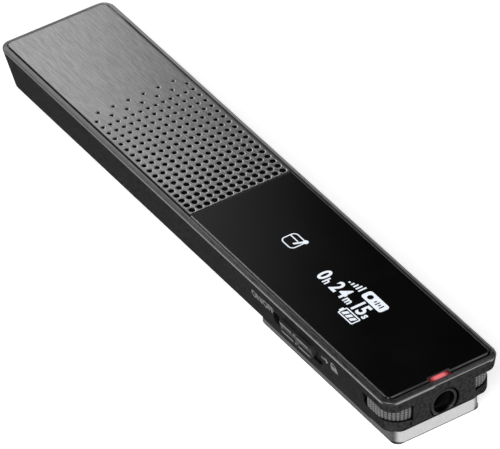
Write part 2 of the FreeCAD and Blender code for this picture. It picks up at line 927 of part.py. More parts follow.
def circuit_board():
    """The board with its screw holes, chips and screws."""
    body = make_body("main_board")
    pad(body, "XY", [rectangle(-board_half, board_half, board_near, board_far)],
        z_board, z_board_top)
    holes = [disc(x, y, s.screw_shank + s.fit) for x, y in screw_places()]
    cut(body, "XY", holes, z_board - 1, z_board_top + 1)
    half = s.chip_side / 2
    piece("processor_chip", block("processor_chip", -half, half, chip_y - half,
                                  chip_y + half, z_board_top,
                                  z_board_top + s.chip_thick))
    piece("memory_chip", block("memory_chip", -s.memory_wide / 2, s.memory_wide / 2,
                               memory_y - s.memory_long / 2,
                               memory_y + s.memory_long / 2, z_board_top,
                               z_board_top + s.memory_thick))
    screws = []
    for x, y in screw_places():
        screws.append(screw("board_screw", x, y, z_board_top, 1, s.screw_deep + s.board_thick
                            - s.fit * 2))
    group("board_screws", screws)


def screw(name, x, y, seat, side, length):
    """A small pan-head screw: its head on the seat, its shank through the seat."""
    if side > 0:
        head = rod("screw_head", "+Z", x, y, seat, s.screw_head, s.screw_head_thick)
        shank = rod("screw_shank", "+Z", x, y, seat - length, s.screw_shank, length)
    else:
        head = rod("screw_head", "+Z", x, y, seat - s.screw_head_thick, s.screw_head,
                   s.screw_head_thick)
        shank = rod("screw_shank", "+Z", x, y, seat, s.screw_shank, length)
    return together(name, [head, shank])


def battery():
    """The built-in cell on its adhesive pad under the board."""
    half = battery_half
    low = z_floor + s.pad_thick
    body = make_body("battery_cell")
    outline = rounded(-half, half, low, z_board - s.battery_air, s.battery_round)
    pad(body, "XZ", [outline], battery_near, battery_far)
    piece("battery_pad", block("battery_pad", s.pad_inset - half, half - s.pad_inset,
                               battery_near + s.pad_inset, battery_far - s.pad_inset,
                               z_floor, low))


def headphone_socket():
    """The socket's housing, its front ring and its solder tails."""
    face = s.jack_recess - half_long
    shoulder = cavity_near
    bore_end = face + s.jack_deep
    back = bore_end + s.jack_back_wall
    half = s.jack_wide / 2
    body = make_body("headphone_jack")
    housing = rectangle(-half, half, z_floor, z_jack + s.jack_bore + s.jack_cover)
    pad(body, "XZ", [housing], shoulder, back)
    cut(body, "XZ", [disc(size(0), z_jack, s.jack_bore)], shoulder - 0.1, bore_end)
    ring = make_body("jack_tube")
    del PIECES["jack_tube"]
    pad(ring, "XZ", [disc(size(0), z_jack, s.jack_ring)], face, shoulder)
    cut(ring, "XZ", [disc(size(0), z_jack, s.jack_bore)], face - 1, shoulder + 1)
    limit = make_body("jack_limit")
    del PIECES["jack_limit"]
    envelope(limit)
    piece("jack_ring", common("jack_ring", ring, limit))
    tails = []
    for step in (-1, 0, 1):
        middle = s.terminal_pitch * step
        tails.append(block("terminal", middle - s.terminal_wide / 2,
                           middle + s.terminal_wide / 2, back,
                           back + s.terminal_long, z_board_top,
                           z_board_top + s.terminal_thick))
    group("jack_terminals", tails)


def record_light():
    """The red light guide at the end of the window and the lamp under it."""
    half = s.light_wide / 2
    head_near = s.light_near - half_long
    stem_far = s.light_far - half_long
    foot_top = z_skirt + s.light_foot_thick
    body = make_body("record_light")
    profile = polygon((head_near, z_top - s.plate_low), (stem_far, z_top - s.plate_low),
                      (stem_far, foot_top), (stem_far + s.light_foot, foot_top),
                      (stem_far + s.light_foot, z_skirt), (light_stem_near, z_skirt),
                      (light_stem_near, z_ledge + s.light_play),
                      (head_near, z_ledge + s.light_play))
    pad(body, "YZ", [profile], -half, half)
    lamp_far = stem_far + s.light_foot
    jack_top = z_jack + s.jack_bore + s.jack_cover
    piece("record_led", block("record_led", -s.led_wide / 2, s.led_wide / 2,
                              lamp_far - s.led_long, lamp_far, jack_top, z_skirt))


# ------------------------------------------------------------- microphones


def grille_profile(side):
    """The grille's plan: a quarter round with a straight tail along the side."""
    tail = mic_y + s.mic_side_reach - s.mic_side_gap
    outer = mic_x + s.mic_round
    inner = mic_x + mic_back
    return polygon((side * mic_x, mic_y - s.mic_round),
                   (side * outer, mic_y - s.mic_round, s.mic_round),
                   (side * outer, tail),
                   (side * inner, tail),
                   (side * inner, mic_y - mic_back, mic_back),
                   (side * mic_x, mic_y - mic_back))


def grille_ribs(grille, side, low, high):
    """Cuts evenly spaced upright grooves round the grille and along its tail."""
    half = s.rib_wide / 2
    outer = s.mic_round
    notch = polygon((-half, -outer - s.rib_deep), (half, -outer - s.rib_deep),
                    (0.0, s.rib_deep - outer))
    groove = cut(grille, "XY", [notch], low - 1, high + 1, (side * mic_x, mic_y))
    turns = round(math.pi / 2 * s.mic_round.value / s.rib_pitch.value)
    around = grille.newObject("PartDesign::PolarPattern", "ribs_around")
    around.Originals = [groove]
    around.Axis = (groove.Profile[0], ["N_Axis"])
    around.Reversed = side < 0
    around.Angle = 90
    around.Occurrences = turns + 1
    grille.Tip = around
    tail = s.mic_side_reach - s.mic_side_gap
    count = int(tail.value / s.rib_pitch.value)
    notch = polygon((side * (outer + s.rib_deep), s.rib_pitch - half),
                    (side * (outer + s.rib_deep), s.rib_pitch + half),
                    (side * (outer - s.rib_deep), s.rib_pitch))
    groove = cut(grille, "XY", [notch], low - 1, high + 1, (side * mic_x, mic_y))
    along = grille.newObject("PartDesign::LinearPattern", "ribs_along")
    along.Originals = [groove]
    along.Direction = (groove.Profile[0], ["V_Axis"])
    bind(along, "Length", s.rib_pitch * (count - 1))
    along.Occurrences = count
    grille.Tip = along


def microphone(side, suffix):
    """One microphone: ribbed grille, rubber boot and capsule facing its corner."""
    grille = make_body(f"mic_grille_{suffix}")
    low = z_back + s.mic_low + s.mic_bottom_gap
    high = z_back + s.mic_high
    pad(grille, "XY", [grille_profile(side)], low, high)
    grille_ribs(grille, side, low, high)
    tip_x = cavity_half - s.fit
    tip_y = cavity_near + s.fit
    boot_x = s.jack_wide / 2 + s.boot_from_jack
    boot = make_body(f"mic_boot_{suffix}")
    low = mic_mid - s.boot_tall / 2
    high = mic_mid + s.boot_tall / 2
    block_plan = polygon((side * tip_x, tip_y, s.cavity_round - s.fit),
                         (side * tip_x, tip_y + s.boot_long),
                         (side * boot_x, tip_y + s.boot_long),
                         (side * boot_x, tip_y))
    pad(boot, "XY", [block_plan], low, high)
    bore = diagonal(boot, "PartDesign::SubtractiveCylinder", side,
                    s.capsule_radius, s.capsule_front - s.capsule_thick)
    bind(bore, "Height", s.capsule_thick)
    mouth = diagonal(boot, "PartDesign::SubtractiveCylinder", side,
                     s.mic_port, s.capsule_front - s.fit)
    bind(mouth, "Height", s.mic_round)
    capsule = make_body(f"mic_capsule_{suffix}")
    can = diagonal(capsule, "PartDesign::AdditiveCylinder", side,
                   s.capsule_radius, s.capsule_front - s.capsule_thick)
    bind(can, "Height", s.capsule_thick)


def diagonal(body, kind, side, radius, start):
    """A cylinder that lies on the diagonal of a near corner, start mm from the centre."""
    cylinder = body.newObject(kind, f"{body.Name}_bore")
    support = [item for item in body.Origin.OriginFeatures if item.Role == "XY_Plane"][0]
    cylinder.AttachmentSupport = [(support, "")]
    cylinder.MapMode = "FlatFace"
    cylinder.AttachmentOffset = FreeCAD.Placement(FreeCAD.Vector(), mic_turn(side))
    along = start * math.sqrt(0.5)
    bind(cylinder, "AttachmentOffset.Base.x", side * (mic_x + along))
    bind(cylinder, "AttachmentOffset.Base.y", mic_y - along)
    bind(cylinder, "AttachmentOffset.Base.z", mic_mid)
    bind(cylinder, "Radius", radius)
    return cylinder


# -------------------------------------------------------------- usb socket


def usb_socket():
    """The metal shell under the board's far end, and the tongue inside it."""
    half = s.usb_wide / 2
    low = z_board - s.usb_tall
    wall = s.usb_wall
    body = make_body("usb_socket")
    outer = rounded(-half, half, low, z_board, s.usb_round - s.fit)
    pad(body, "XZ", [outer], usb_near, usb_far)
    inner = rounded(wall - half, half - wall, low + wall, z_board - wall,
                    s.usb_round - s.fit - wall)
    cut(body, "XZ", [inner], usb_near + s.usb_back, usb_far + 1)
    middle = low + s.usb_tall / 2
    tongue = s.usb_tongue_wide / 2
    piece("usb_tongue", block("usb_tongue", -tongue, tongue, usb_near + s.usb_back,
                              usb_far - s.usb_tongue_short,
                              middle - s.usb_tongue_thick / 2,
                              middle + s.usb_tongue_thick / 2))


# ------------------------------------------------------ switch on the left


def slide_switch():
    """The sliding knob in its recess and the switch body that its stem enters."""
    knob_low = z_switch - s.knob_tall / 2
    knob_high = z_switch + s.knob_tall / 2
    inner = s.recess_deep - wall_x(z_switch) - s.fit
    near = switch_y - s.knob_long / 2
    far = switch_y + s.knob_long / 2
    body = make_body("switch_knob")
    bar = rounded(near, far, knob_low, knob_high, s.recess_round - s.knob_play)
    pad(body, "YZ", [bar], -half_wide, inner)
    slope = polygon((-wall_x(knob_low) - s.knob_proud, knob_low),
                    (-wall_x(knob_high) - s.knob_proud, knob_high),
                    (-wall_x(knob_high) - s.knob_proud, knob_high + 1),
                    (-half_wide - 1, knob_high + 1), (-half_wide - 1, knob_low))
    cut(body, "XZ", [slope], near - 1, far + 1)
    rib_in = s.knob_tall / 2 - s.knob_rib_tall
    for direction in (-1, 1):
        start = switch_y + direction * (s.knob_rib_gap / 2)
        end = start + direction * s.knob_rib_long
        low_end, high_end = (end, start) if direction < 0 else (start, end)
        for level in (z_switch + rib_in, z_switch - rib_in - s.knob_rib_tall):
            top = level + s.knob_rib_tall
            rib = polygon((-wall_x(level), level), (-wall_x(top), top),
                          (-wall_x(top) - s.knob_proud - s.knob_rib_proud, top),
                          (-wall_x(level) - s.knob_proud - s.knob_rib_proud, level))
            pad(body, "XZ", [rib], low_end, high_end)
    stem_low = z_switch - s.stem_low
    stem = rectangle(switch_y - s.stem_long / 2, switch_y + s.stem_long / 2,
                     stem_low, stem_low + s.stem_tall)
    stem_end = s.stem_reach - cavity_half
    pad(body, "YZ", [stem], inner, stem_end)
    switch = make_body("slide_switch")
    outer = slider_face
    reach = s.slider_long / 2
    outline = rectangle(switch_y - reach, switch_y + reach,
                        z_board - s.switch_tall, z_board)
    pad(switch, "YZ", [outline], outer, outer + s.slider_wide)
    reach = s.stem_long / 2 + s.switch_travel + s.knob_play
    groove = rectangle(switch_y - reach, switch_y + reach,
                       stem_low - s.fit, stem_low + s.stem_tall + s.fit)
    cut(switch, "YZ", [groove], outer - 1, stem_end + s.fit)


slider_face = s.fit * 2 - cavity_half

# ------------------------------------------------------- keys on the right


def keys():
    """Seven keys in the right wall, each with a push switch behind it."""
    flange_out = cavity_half - s.key_flange_gap
    flange_in = flange_out - s.key_flange_thick
    nub = flange_in - s.key_travel - s.key_stop
    switches = []
    for index in range(int(s.key_count.value)):
        place = key_place(index)
        low = z_key - s.key_tall / 2
        high = z_key + s.key_tall / 2
        body = make_body(KEY_NAMES[index])
        half = s.key_long / 2
        flange = rectangle(place - half - s.key_flange, place + half + s.key_flange,
                           low - s.key_flange, high + s.key_flange)
        pad(body, "YZ", [flange], flange_in, flange_out)
        cap = rounded(place - half, place + half, low, high, s.key_round - s.key_play)
        pad(body, "YZ", [cap], flange_in, wall_x(high) + s.key_proud)
        slope = polygon((wall_x(low) + s.key_proud, low),
                        (wall_x(high) + s.key_proud, high),
                        (half_wide + 1, high + 1), (half_wide + 1, low - 1),
                        (wall_x(low) + s.key_proud, low - 1))
        cut(body, "XZ", [slope], place - half - 1, place + half + 1)
        base = block("tact_base", nub - s.tact_nub_out - s.tact_wide, nub - s.tact_nub_out,
                     place - s.tact_long / 2, place + s.tact_long / 2,
                     z_board - s.switch_tall, z_board)
        middle = z_board - s.switch_tall / 2
        button = block("tact_nub", nub - s.tact_nub_out, nub, place - s.tact_nub / 2,
                       place + s.tact_nub / 2, middle - s.tact_nub / 2,
                       middle + s.tact_nub / 2)
        switches.append(together("tact_switch", [base, button]))
    group("key_switches", switches)


# -------------------------------------------------------------- belt clip


def ear_outline(low):
    """A lug's side view: round about the pin, straight down to its plate."""
    return rectangle(hinge_y - s.lug_radius, hinge_y + s.lug_radius,
                     low, z_pin)


def clip_bracket():
    """The plate in the case back with two lugs that carry the pin."""
    body = make_body("clip_bracket")
    plate = rectangle(-s.bracket_wide / 2, s.bracket_wide / 2,
                      hinge_y - s.bracket_long / 2,
                      hinge_y + s.bracket_long / 2)
    pad(body, "XY", [plate], z_back, z_back + s.bracket_thick)
    for side in (-1, 1):
        one = side * s.lug_inside
        two = side * (s.lug_inside + s.lug_thick)
        left, right = (one, two) if side > 0 else (two, one)
        shoulder = rectangle(hinge_y - s.lug_radius, hinge_y + s.lug_radius,
                             z_pin, z_back + s.bracket_thick / 2)
        pad(body, "YZ", [shoulder], left, right)
        pad(body, "YZ", [disc(hinge_y, z_pin, s.lug_radius)], left, right)
    pin_hole = disc(hinge_y, z_pin, s.pin_radius + s.pin_running)
    cut(body, "YZ", [pin_hole], -half_wide, half_wide)
    cut(body, "XY", bracket_holes(), z_back - 1, z_back + 1)
    screws = [screw("bracket_screw", x, y, z_back, -1, s.floor_thick - s.fit * 4)
              for x, y in bracket_screw_places()]
    group("bracket_screws", screws)


def clip_plate():
    """The sprung blade: flat back, turned-up lip at the near end, hinge ears."""
    half = s.clip_wide / 2
    lip_top = z_back - s.clip_lip_gap
    body = make_body("clip_plate")
    outline = rectangle(-half, half, clip_near, clip_far, s.clip_round, s.clip_round / 2)
    pad(body, "XY", [outline], size(0), lip_top)
    thick = s.clip_thick
    hollow = rectangle(thick - half, half - thick, clip_near + thick, clip_far + 1,
                       s.clip_round - thick, None)
    cut(body, "XY", [hollow], thick, lip_top + 1)
    return_end = clip_near + s.clip_return
    side_view = polygon((return_end, lip_top + 1), (return_end, lip_top),
                        (return_end + s.clip_slope, thick), (clip_far + 1, thick),
                        (clip_far + 1, lip_top + 1))
    cut(body, "YZ", [side_view], -half_wide, half_wide)
    inside = s.lug_inside + s.lug_thick + s.lug_side_gap
    for side in (-1, 1):
        one = side * inside
        two = side * (inside + s.lug_thick)
        left, right = (one, two) if side > 0 else (two, one)
        pad(body, "YZ", [ear_outline(thick / 2)], left, right)
        pad(body, "YZ", [disc(hinge_y, z_pin, s.lug_radius)], left, right)
    pin_hole = disc(hinge_y, z_pin, s.pin_radius + s.pin_press)
    cut(body, "YZ", [pin_hole], -half_wide, half_wide)
    pin_half = inside + s.lug_thick
    piece("clip_pin", rod("clip_pin", "+X", -pin_half, hinge_y, z_pin,
                          s.pin_radius, pin_half * 2))


def clip_spring():
    """A torsion spring wound round the pin, one leg up and one leg down.

    The coil is a helix of short straight runs, x growing evenly with the angle.
    """
    coil = (s.pin_radius + s.spring_play + s.spring_wire).value
    length = (s.spring_pitch * s.spring_turns).value
    leg = s.spring_leg.value
    rise = math.radians(s.spring_leg_rise.value)
    steps = int(s.spring_turns.value * WIRE_RUNS_PER_TURN)
    points = [FreeCAD.Vector(-length / 2, leg, coil)]
    for step in range(steps + 1):
        share = step / steps
        angle = math.pi / 2 + 2 * math.pi * s.spring_turns.value * share
        points.append(FreeCAD.Vector(length * (share - 0.5), coil * math.cos(angle),
                                     coil * math.sin(angle)))
    points.append(FreeCAD.Vector(length / 2, leg * math.cos(rise),
                                 leg * math.sin(rise) - coil))
    section = []
    for step in range(WIRE_SIDES + 1):
        angle = 2 * math.pi * step / WIRE_SIDES
        wire = s.spring_wire.value
        section.append(points[0] + FreeCAD.Vector(wire * math.cos(angle), 0,
                                                  wire * math.sin(angle)))
    path = Part.Wire(Part.makePolygon(points))
    outline = Part.Wire(Part.makePolygon(section))
    spring = doc.addObject("Part::Feature", "clip_spring")
    spring.Shape = path.makePipeShell([outline], True, False, 1)
    spring.Placement = FreeCAD.Placement(FreeCAD.Vector(0, hinge_y.value, z_pin.value),
                                         FreeCAD.Rotation())
    piece("clip_spring", spring)


# ------------------------------------------------------------------- build

rear_case()
front_rim()
front_plate()
display_window()
tape_frame("plate_tape", plate_half - s.tape_inset, plate_near, plate_far - s.tape_inset)
tape_frame("window_tape", window_half - s.tape_inset,
           s.light_far - half_long + s.tape_inset, window_far)
speaker_stack()
display_stack()
circuit_board()
battery()
headphone_socket()
record_light()
for side, suffix in ((-1, "left"), (1, "right")):
    microphone(side, suffix)
usb_socket()
slide_switch()
keys()
clip_bracket()
clip_plate()
clip_spring()
doc.recompute()

for thing in doc.Objects:
    if "Invalid" in thing.State or "Error" in thing.State:
        raise RuntimeError(f"{thing.Name} did not build: {thing.State}")
    if thing.TypeId in ("PartDesign::Pocket", "PartDesign::SubtractiveCylinder"):
        if thing.Shape.Volume > thing.BaseFeature.Shape.Volume - 1e-4:
            raise RuntimeError(f"{thing.Name} takes nothing away")
for label, thing in PIECES.items():
    shape = thing.Shape
    if shape.isNull() or not shape.isValid():
        raise RuntimeError(f"{label} has no valid shape")
    print(f"{label:18s} solids {len(shape.Solids):2d} volume {shape.Volume:10.3f}")
    shape.exportStep(f"parts/{label}.step")
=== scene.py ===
# %% [markdown]
# # A slim voice recorder
# The real thing is a flat metal bar that fits a shirt pocket. A dark anodised
# shell carries a chamfered rim. The rim holds a brushed plate whose holes fade
# away from the speaker, and a black window with a small bright display.
# The CAD model already gives every part its size and its place. Here each
# surface gets its finish. The plate, the rim, the window, the grilles and the
# socket's ring get finer meshes than the CAD model needs, and the figures and
# labels are drawn.

# %% Load the frame
import math

import bmesh
import bpy
import numpy as np
from mathutils import Matrix, Vector


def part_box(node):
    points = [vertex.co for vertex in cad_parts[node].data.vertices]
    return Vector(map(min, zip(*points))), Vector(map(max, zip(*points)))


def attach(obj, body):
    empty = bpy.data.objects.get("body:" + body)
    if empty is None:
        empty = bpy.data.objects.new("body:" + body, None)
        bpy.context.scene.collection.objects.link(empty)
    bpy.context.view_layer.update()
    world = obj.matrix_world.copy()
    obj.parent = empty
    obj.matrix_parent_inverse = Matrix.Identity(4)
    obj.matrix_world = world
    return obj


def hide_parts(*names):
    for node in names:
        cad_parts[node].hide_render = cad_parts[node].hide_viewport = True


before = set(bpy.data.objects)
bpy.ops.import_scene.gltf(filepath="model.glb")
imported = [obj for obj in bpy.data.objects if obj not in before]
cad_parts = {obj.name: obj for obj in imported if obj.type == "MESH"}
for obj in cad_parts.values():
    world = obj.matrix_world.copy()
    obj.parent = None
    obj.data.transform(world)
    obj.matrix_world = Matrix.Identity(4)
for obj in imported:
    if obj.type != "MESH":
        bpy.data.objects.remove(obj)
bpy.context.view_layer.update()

MM = 0.001

# %% [markdown]
# ## The camera
# A long lens from well away keeps the bar's long edges nearly parallel, as in a
# catalogue picture. The camera's place is given as two angles and a distance
# from the point it looks at. Its matrix is a chain of plain turns, which is
# easier to check than a constraint.

# %% Camera
AZIMUTH, ELEVATION, ROLL = np.radians((-33.80, 39.29, -0.77)).tolist()
DISTANCE, LENS, SENSOR, AIM = 909.5, 446.7, 36.0, Vector((-0.04, -2.14, 5.3))

lens = bpy.data.cameras.new("catalogue_camera")
lens.lens, lens.sensor_width, lens.sensor_fit = LENS, SENSOR, "HORIZONTAL"
lens.clip_start, lens.clip_end = 0.05, 20.0
camera = bpy.data.objects.new("catalogue_camera", lens)
bpy.context.scene.collection.objects.link(camera)
# From the aim: round to the azimuth, up to the elevation, the roll, and back.
camera.matrix_world = (
    Matrix.Translation(AIM * MM) @ Matrix.Rotation(AZIMUTH, 4, "Z")
    @ Matrix.Rotation(math.pi / 2 - ELEVATION, 4, "X") @ Matrix.Rotation(ROLL, 4, "Z")
    @ Matrix.Translation((0.0, 0.0, DISTANCE * MM)))
bpy.context.scene.camera = camera
bpy.context.scene.view_settings.view_transform = "Standard"
print("camera at", [round(v, 3) for v in camera.matrix_world.translation])

# %% [markdown]
# ## Making a mesh from arrays
# Most pieces here are rings of points stacked along a profile. The points are
# worked out as one array, and the faces as another, so a ring of forty points
# costs no more code than a ring of four. A closed profile gives a tube; an open
# one gets a flat cap at each end, so every piece is a closed solid.

# %% Mesh helpers
def box_of(node):
    """The low and the high corner of a CAD node, in millimetres."""
    return tuple(np.array(corner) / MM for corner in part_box(node))


def add_piece(name, points, faces, body, slot, material, smooth_below=32.0):
    """A closed mesh from points in millimetres, with its faces turned outwards."""
    mesh = bpy.data.meshes.new(name)
    mesh.from_pydata((np.asarray(points) * MM).tolist(), [], faces)
    work = bmesh.new()
    work.from_mesh(mesh)
    bmesh.ops.remove_doubles(work, verts=work.verts, dist=0.0004 * MM)
    bmesh.ops.recalc_face_normals(work, faces=work.faces)
    work.to_mesh(mesh)
    work.free()
    mesh.shade_smooth()
    mesh.set_sharp_from_angle(angle=math.radians(smooth_below))
    mesh.materials.append(material)
    piece = bpy.data.objects.new(name, mesh)
    bpy.context.scene.collection.objects.link(piece)
    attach(piece, body)
    return piece


def ring_faces(rings, around, closed_profile):
    """Quads between each ring and the next, all the way round.

    Where the profile is open, the first and last ring become caps.
    """
    last = rings if closed_profile else rings - 1
    ring = np.arange(last)[:, None] * around
    after = ((np.arange(last) + 1) % rings)[:, None] * around
    spot = np.arange(around)[None, :]
    beside = (spot + 1) % around
    quads = np.stack((ring + spot, ring + beside, after + beside, after + spot), axis=-1)
    faces = quads.reshape(-1, 4).tolist()
    if not closed_profile:
        faces.append(list(range(around)))
        faces.append(list(range((rings - 1) * around, rings * around)))
    return faces


def add_rings(name, rings, closed_profile, *where, smooth_below):
    """A piece from equal rings of points; where is its body, its slot, which is not used, and its
    finish.
    """
    faces = ring_faces(len(rings), len(rings[0]), closed_profile)
    return add_piece(name, np.concatenate(rings), faces, *where, smooth_below)


def finish_faces(piece, materials, index):
    """More finishes for a piece, and for each face the number of its own, from 0 up."""
    for material in materials:
        piece.data.materials.append(material)
    piece.data.polygons.foreach_set("material_index", np.asarray(index, dtype=np.int32))
    print(piece.name, "has", len(piece.data.polygons), "faces")


# %% Outlines
def rounded(half, low, high, round_low, round_high, steps):
    """A rectangle whose corners are quarter circles, anticlockwise from its low right one."""
    quarter = np.linspace(0.0, math.pi / 2, steps + 1)
    points = []
    for side, end, radius, start in ((1, low, round_low, -90), (1, high, round_high, 0),
                                     (-1, high, round_high, 90), (-1, low, round_low, 180)):
        turn = quarter + math.radians(start)
        centre = np.array((side * (half - radius), end + (radius if end == low else -radius)))
        points.append(centre + radius * np.stack((np.cos(turn), np.sin(turn)), axis=-1))
    return np.concatenate(points)


def outline_ring(half, near, far, round_near, round_far, z, notch=0.0, notch_half=1.7):
    """A rounded rectangle seen from above, at height z.

    The near side has four more points, and a notch moves the middle two of them
    towards the far end.
    """
    middle = [(-notch_half, near), (-notch_half, near + notch),
              (notch_half, near + notch), (notch_half, near)]
    flat = np.concatenate((middle, rounded(half, near, far, round_near, round_far, 10)))
    return np.column_stack((flat, np.full(len(flat), z)))


# %% [markdown]
# ## Finishes as nodes
# Every finish starts from one Principled shader. Fine detail comes from noise
# textures read in Object coordinates, which for these pieces are plain metres
# from the recorder's own origin. A Mapping node stretches the noise: squeezed
# across the bar and long beside it, noise turns into brush marks.

# %% Node helpers
def set_sockets(tree, node, sockets):
    """Link each input that is given a socket, and set each that is given a value."""
    for key, value in sockets.items():
        if isinstance(value, bpy.types.NodeSocket):
            tree.links.new(value, node.inputs[key])
        else:
            node.inputs[key].default_value = value


def add_node(tree, kind, sockets=None, **settings):
    """A shader node with its settings made and its sockets set or linked."""
    made = tree.nodes.new("ShaderNode" + kind)
    for key, value in settings.items():
        setattr(made, key, value)
    set_sockets(tree, made, sockets or {})
    return made


def clear_tree(owner):
    """The empty node tree of a material or a world."""
    owner.use_nodes = True
    owner.node_tree.nodes.clear()
    return owner.node_tree


def noise(tree, per_mm, detail=3.0, roughness=0.55):
    """Noise between 0 and 1: its cells to the millimetre, as one number or along x, y and z."""
    place = add_node(tree, "TexCoord").outputs["Object"]
    scale = tuple(1000.0 * np.broadcast_to(per_mm, 3))
    spread = add_node(tree, "Mapping", {"Vector": place, "Scale": scale})
    return add_node(tree, "TexNoise", {"Vector": spread.outputs["Vector"], "Scale": 1.0,
                                       "Detail": detail, "Roughness": roughness}).outputs["Fac"]


CLOUD_ENDS = (0.3, 0.7)


def between(tree, amount, low, high, ends=CLOUD_ENDS, smooth=False):
    """Carry a value from between two ends onto another range, evenly or eased."""
    return add_node(tree, "MapRange", {"Value": amount, "From Min": ends[0], "From Max": ends[1],
                                       "To Min": low, "To Max": high},
                    interpolation_type="SMOOTHSTEP" if smooth else "LINEAR").outputs["Result"]


def share(tree, amount, none, full, smooth=False):
    """0 where a value is at none, 1 where it is at full."""
    return between(tree, amount, 0.0, 1.0, (none, full), smooth)


def maths(tree, operation, first, second=0.0):
    """One step of arithmetic on a value, or on two."""
    return add_node(tree, "Math", {0: first, 1: second}, operation=operation).outputs[0]


def part_of(tree, kind, output, axis, mirrored=False):
    """One axis of the place or the direction that a node gives, without its sign if mirrored."""
    vector = add_node(tree, kind).outputs[output]
    level = add_node(tree, "SeparateXYZ", {0: vector}).outputs[axis]
    return maths(tree, "ABSOLUTE", level) if mirrored else level


# %% Colour helpers
def blend_colours(tree, amount, first, second):
    """A mix of two colours by an amount."""
    first, second = (colour if isinstance(colour, bpy.types.NodeSocket) else (*colour, 1.0)
                     for colour in (first, second))
    return add_node(tree, "Mix", {0: amount, 6: first, 7: second}, data_type="RGBA").outputs[2]


def grey(level):
    """A linear grey from a display level between 0 and 255; a colour stays as it is."""
    if isinstance(level, tuple):
        return level
    part = level / 255.0
    return (part / 12.92 if part <= 0.04045 else ((part + 0.055) / 1.055) ** 2.4,) * 3


def tones(tree, cloud, dark, light, ends=CLOUD_ENDS):
    """Two grey levels, or two colours, mixed by a noise."""
    return blend_colours(tree, between(tree, cloud, 0.0, 1.0, ends), grey(dark), grey(light))


FINISHES = {}


def new_finish(name, metallic=0.0, specular=0.5, tint=1.0):
    """A material with one Principled shader, kept by its name, with its tree and shader."""
    material = FINISHES[name] = bpy.data.materials.new(name + "_finish")
    material.use_nodes = True
    tree = material.node_tree
    shader = tree.nodes["Principled BSDF"]
    set_sockets(tree, shader, {"Metallic": metallic, "IOR": 1.5, "Specular IOR Level": specular,
                               "Specular Tint": (tint, tint, tint, 1.0)})
    return material, tree, shader


def dress(tree, shader, colour, cloud, rough, ends=CLOUD_ENDS):
    """Join a colour to the shader, and a roughness that follows a noise."""
    set_sockets(tree, shader, {"Base Color": colour,
                               "Roughness": between(tree, cloud, *rough, ends)})


def raise_grain(tree, shader, height, strength, depth):
    """Lift the surface by a height between 0 and 1, up to depth millimetres."""
    lifted = add_node(tree, "Bump", {"Height": height, "Strength": strength,
                                     "Distance": depth * MM})
    set_sockets(tree, shader, {"Normal": lifted.outputs["Normal"]})


def surface(name, dark, light, rough, per_mm, bump=0.2, depth=0.004, fine=None, layers=(),
            **kind):
    """A general finish: two tones and two roughnesses mixed by the same noise.

    Each layer covers them with tones of its own by its share. A noise of its
    own, three times finer unless fine says otherwise, lifts the surface.
    """
    material, tree, shader = new_finish(name, **kind)
    cloud = noise(tree, per_mm)
    colour = tones(tree, cloud, dark, light)
    for cover, *pair in layers:
        colour = blend_colours(tree, cover(tree), colour, tones(tree, cloud, *pair))
    dress(tree, shader, colour, cloud, rough)
    if bump:
        raise_grain(tree, shader, noise(tree, fine or 3.0 * np.array(per_mm)), bump, depth)
    return material


# %% [markdown]
# ## Layers of a finish
# A layer needs a share between 0 and 1 at every point of the piece. It can grow
# along an axis, as a painted highlight does towards the near end, or as a face turns.
# Two shares multiply where both must hold, and the larger counts where one is
# enough. Each helper returns a function, so that a finish can list its layers
# before its nodes exist.

# %% Shares of a layer
def by_place(axis, none, full, smooth=False, mirrored=False):
    """A share by the place along an axis, between two places in millimetres."""
    return lambda tree: share(tree, part_of(tree, "TexCoord", "Object", axis, mirrored),
                              none * MM, full * MM, smooth)


def by_facing(axis, none, full, smooth=False):
    """A share by how far a face points along an axis, from -1 to 1."""
    return lambda tree: share(tree, part_of(tree, "NewGeometry", "Normal", axis),
                              none, full, smooth)


def by_corner(none, full):
    """A share by the product of a face's directions along x and y, both without sign."""
    return lambda tree: share(tree, maths(tree, "MULTIPLY", *(
        part_of(tree, "NewGeometry", "Normal", axis, True) for axis in "XY")),
        none, full)


def joined(operation, first, second):
    """Two shares as one, by an operation of a Math node."""
    return lambda tree: maths(tree, operation, first(tree), second(tree))


# %% [markdown]
# ## The shell's dark anodising
# The shell is aluminium, blasted and dyed nearly black. Blasting leaves a fine
# pebbled surface, so the grain is the same in every direction. The dye sits in
# the oxide, which takes most of the mirror away even at a grazing angle: the
# shader's specular tint does that for a metal.

# %% Shell finish
WARM_DARK = tuple(np.array(grey(44)) * (1.0, 0.99, 0.98))
DARK_METAL = surface("dark_anodised", WARM_DARK, 75, (0.40, 0.50), 2.2, bump=1.0, depth=0.09,
                     fine=3.2, metallic=1.0, tint=0.38)
print("shell finish:", DARK_METAL.name)

# %% [markdown]
# ## The rim's finishes
# The rim is turned bright at its edges and satin between them. Its right side is
# painted paler towards the far end, a painted reflection, and its low edge is
# painted paler towards the near end, a painted highlight. Painted shade darkens
# both in the corners. The small step inside it is painted dark down both sides as
# painted shade, and pale at the far end as painted light.

# %% Rim finishes
RIM_METAL = surface("rim_metal", 120, 140, (0.26, 0.34), (3.0, 0.6, 3.0), bump=0.12, depth=0.003,
                    fine=(12.0, 2.0, 12.0), metallic=1.0, tint=0.55, layers=(
    # Painted reflection: the right side is paler towards the far end. Painted shade: the corners
    # are darker.
    (joined("MULTIPLY", by_place("X", 5, 8), by_place("Y", -45, 25)), 160, 182),
    (by_corner(0.06, 0.2), 66, 80)))
# Painted highlight: the chamfer's low edge is paler towards the near end; painted shade darkens
# it in the corners.
LOW_EDGE_HIGHLIGHT = surface("low_edge_highlight", 112, 128, (0.28, 0.36), 2.0, bump=0.0, metallic=1.0, layers=(
    (by_place("Y", 40, -50), 152, 172), (by_corner(0.12, 0.36), 60, 74)))
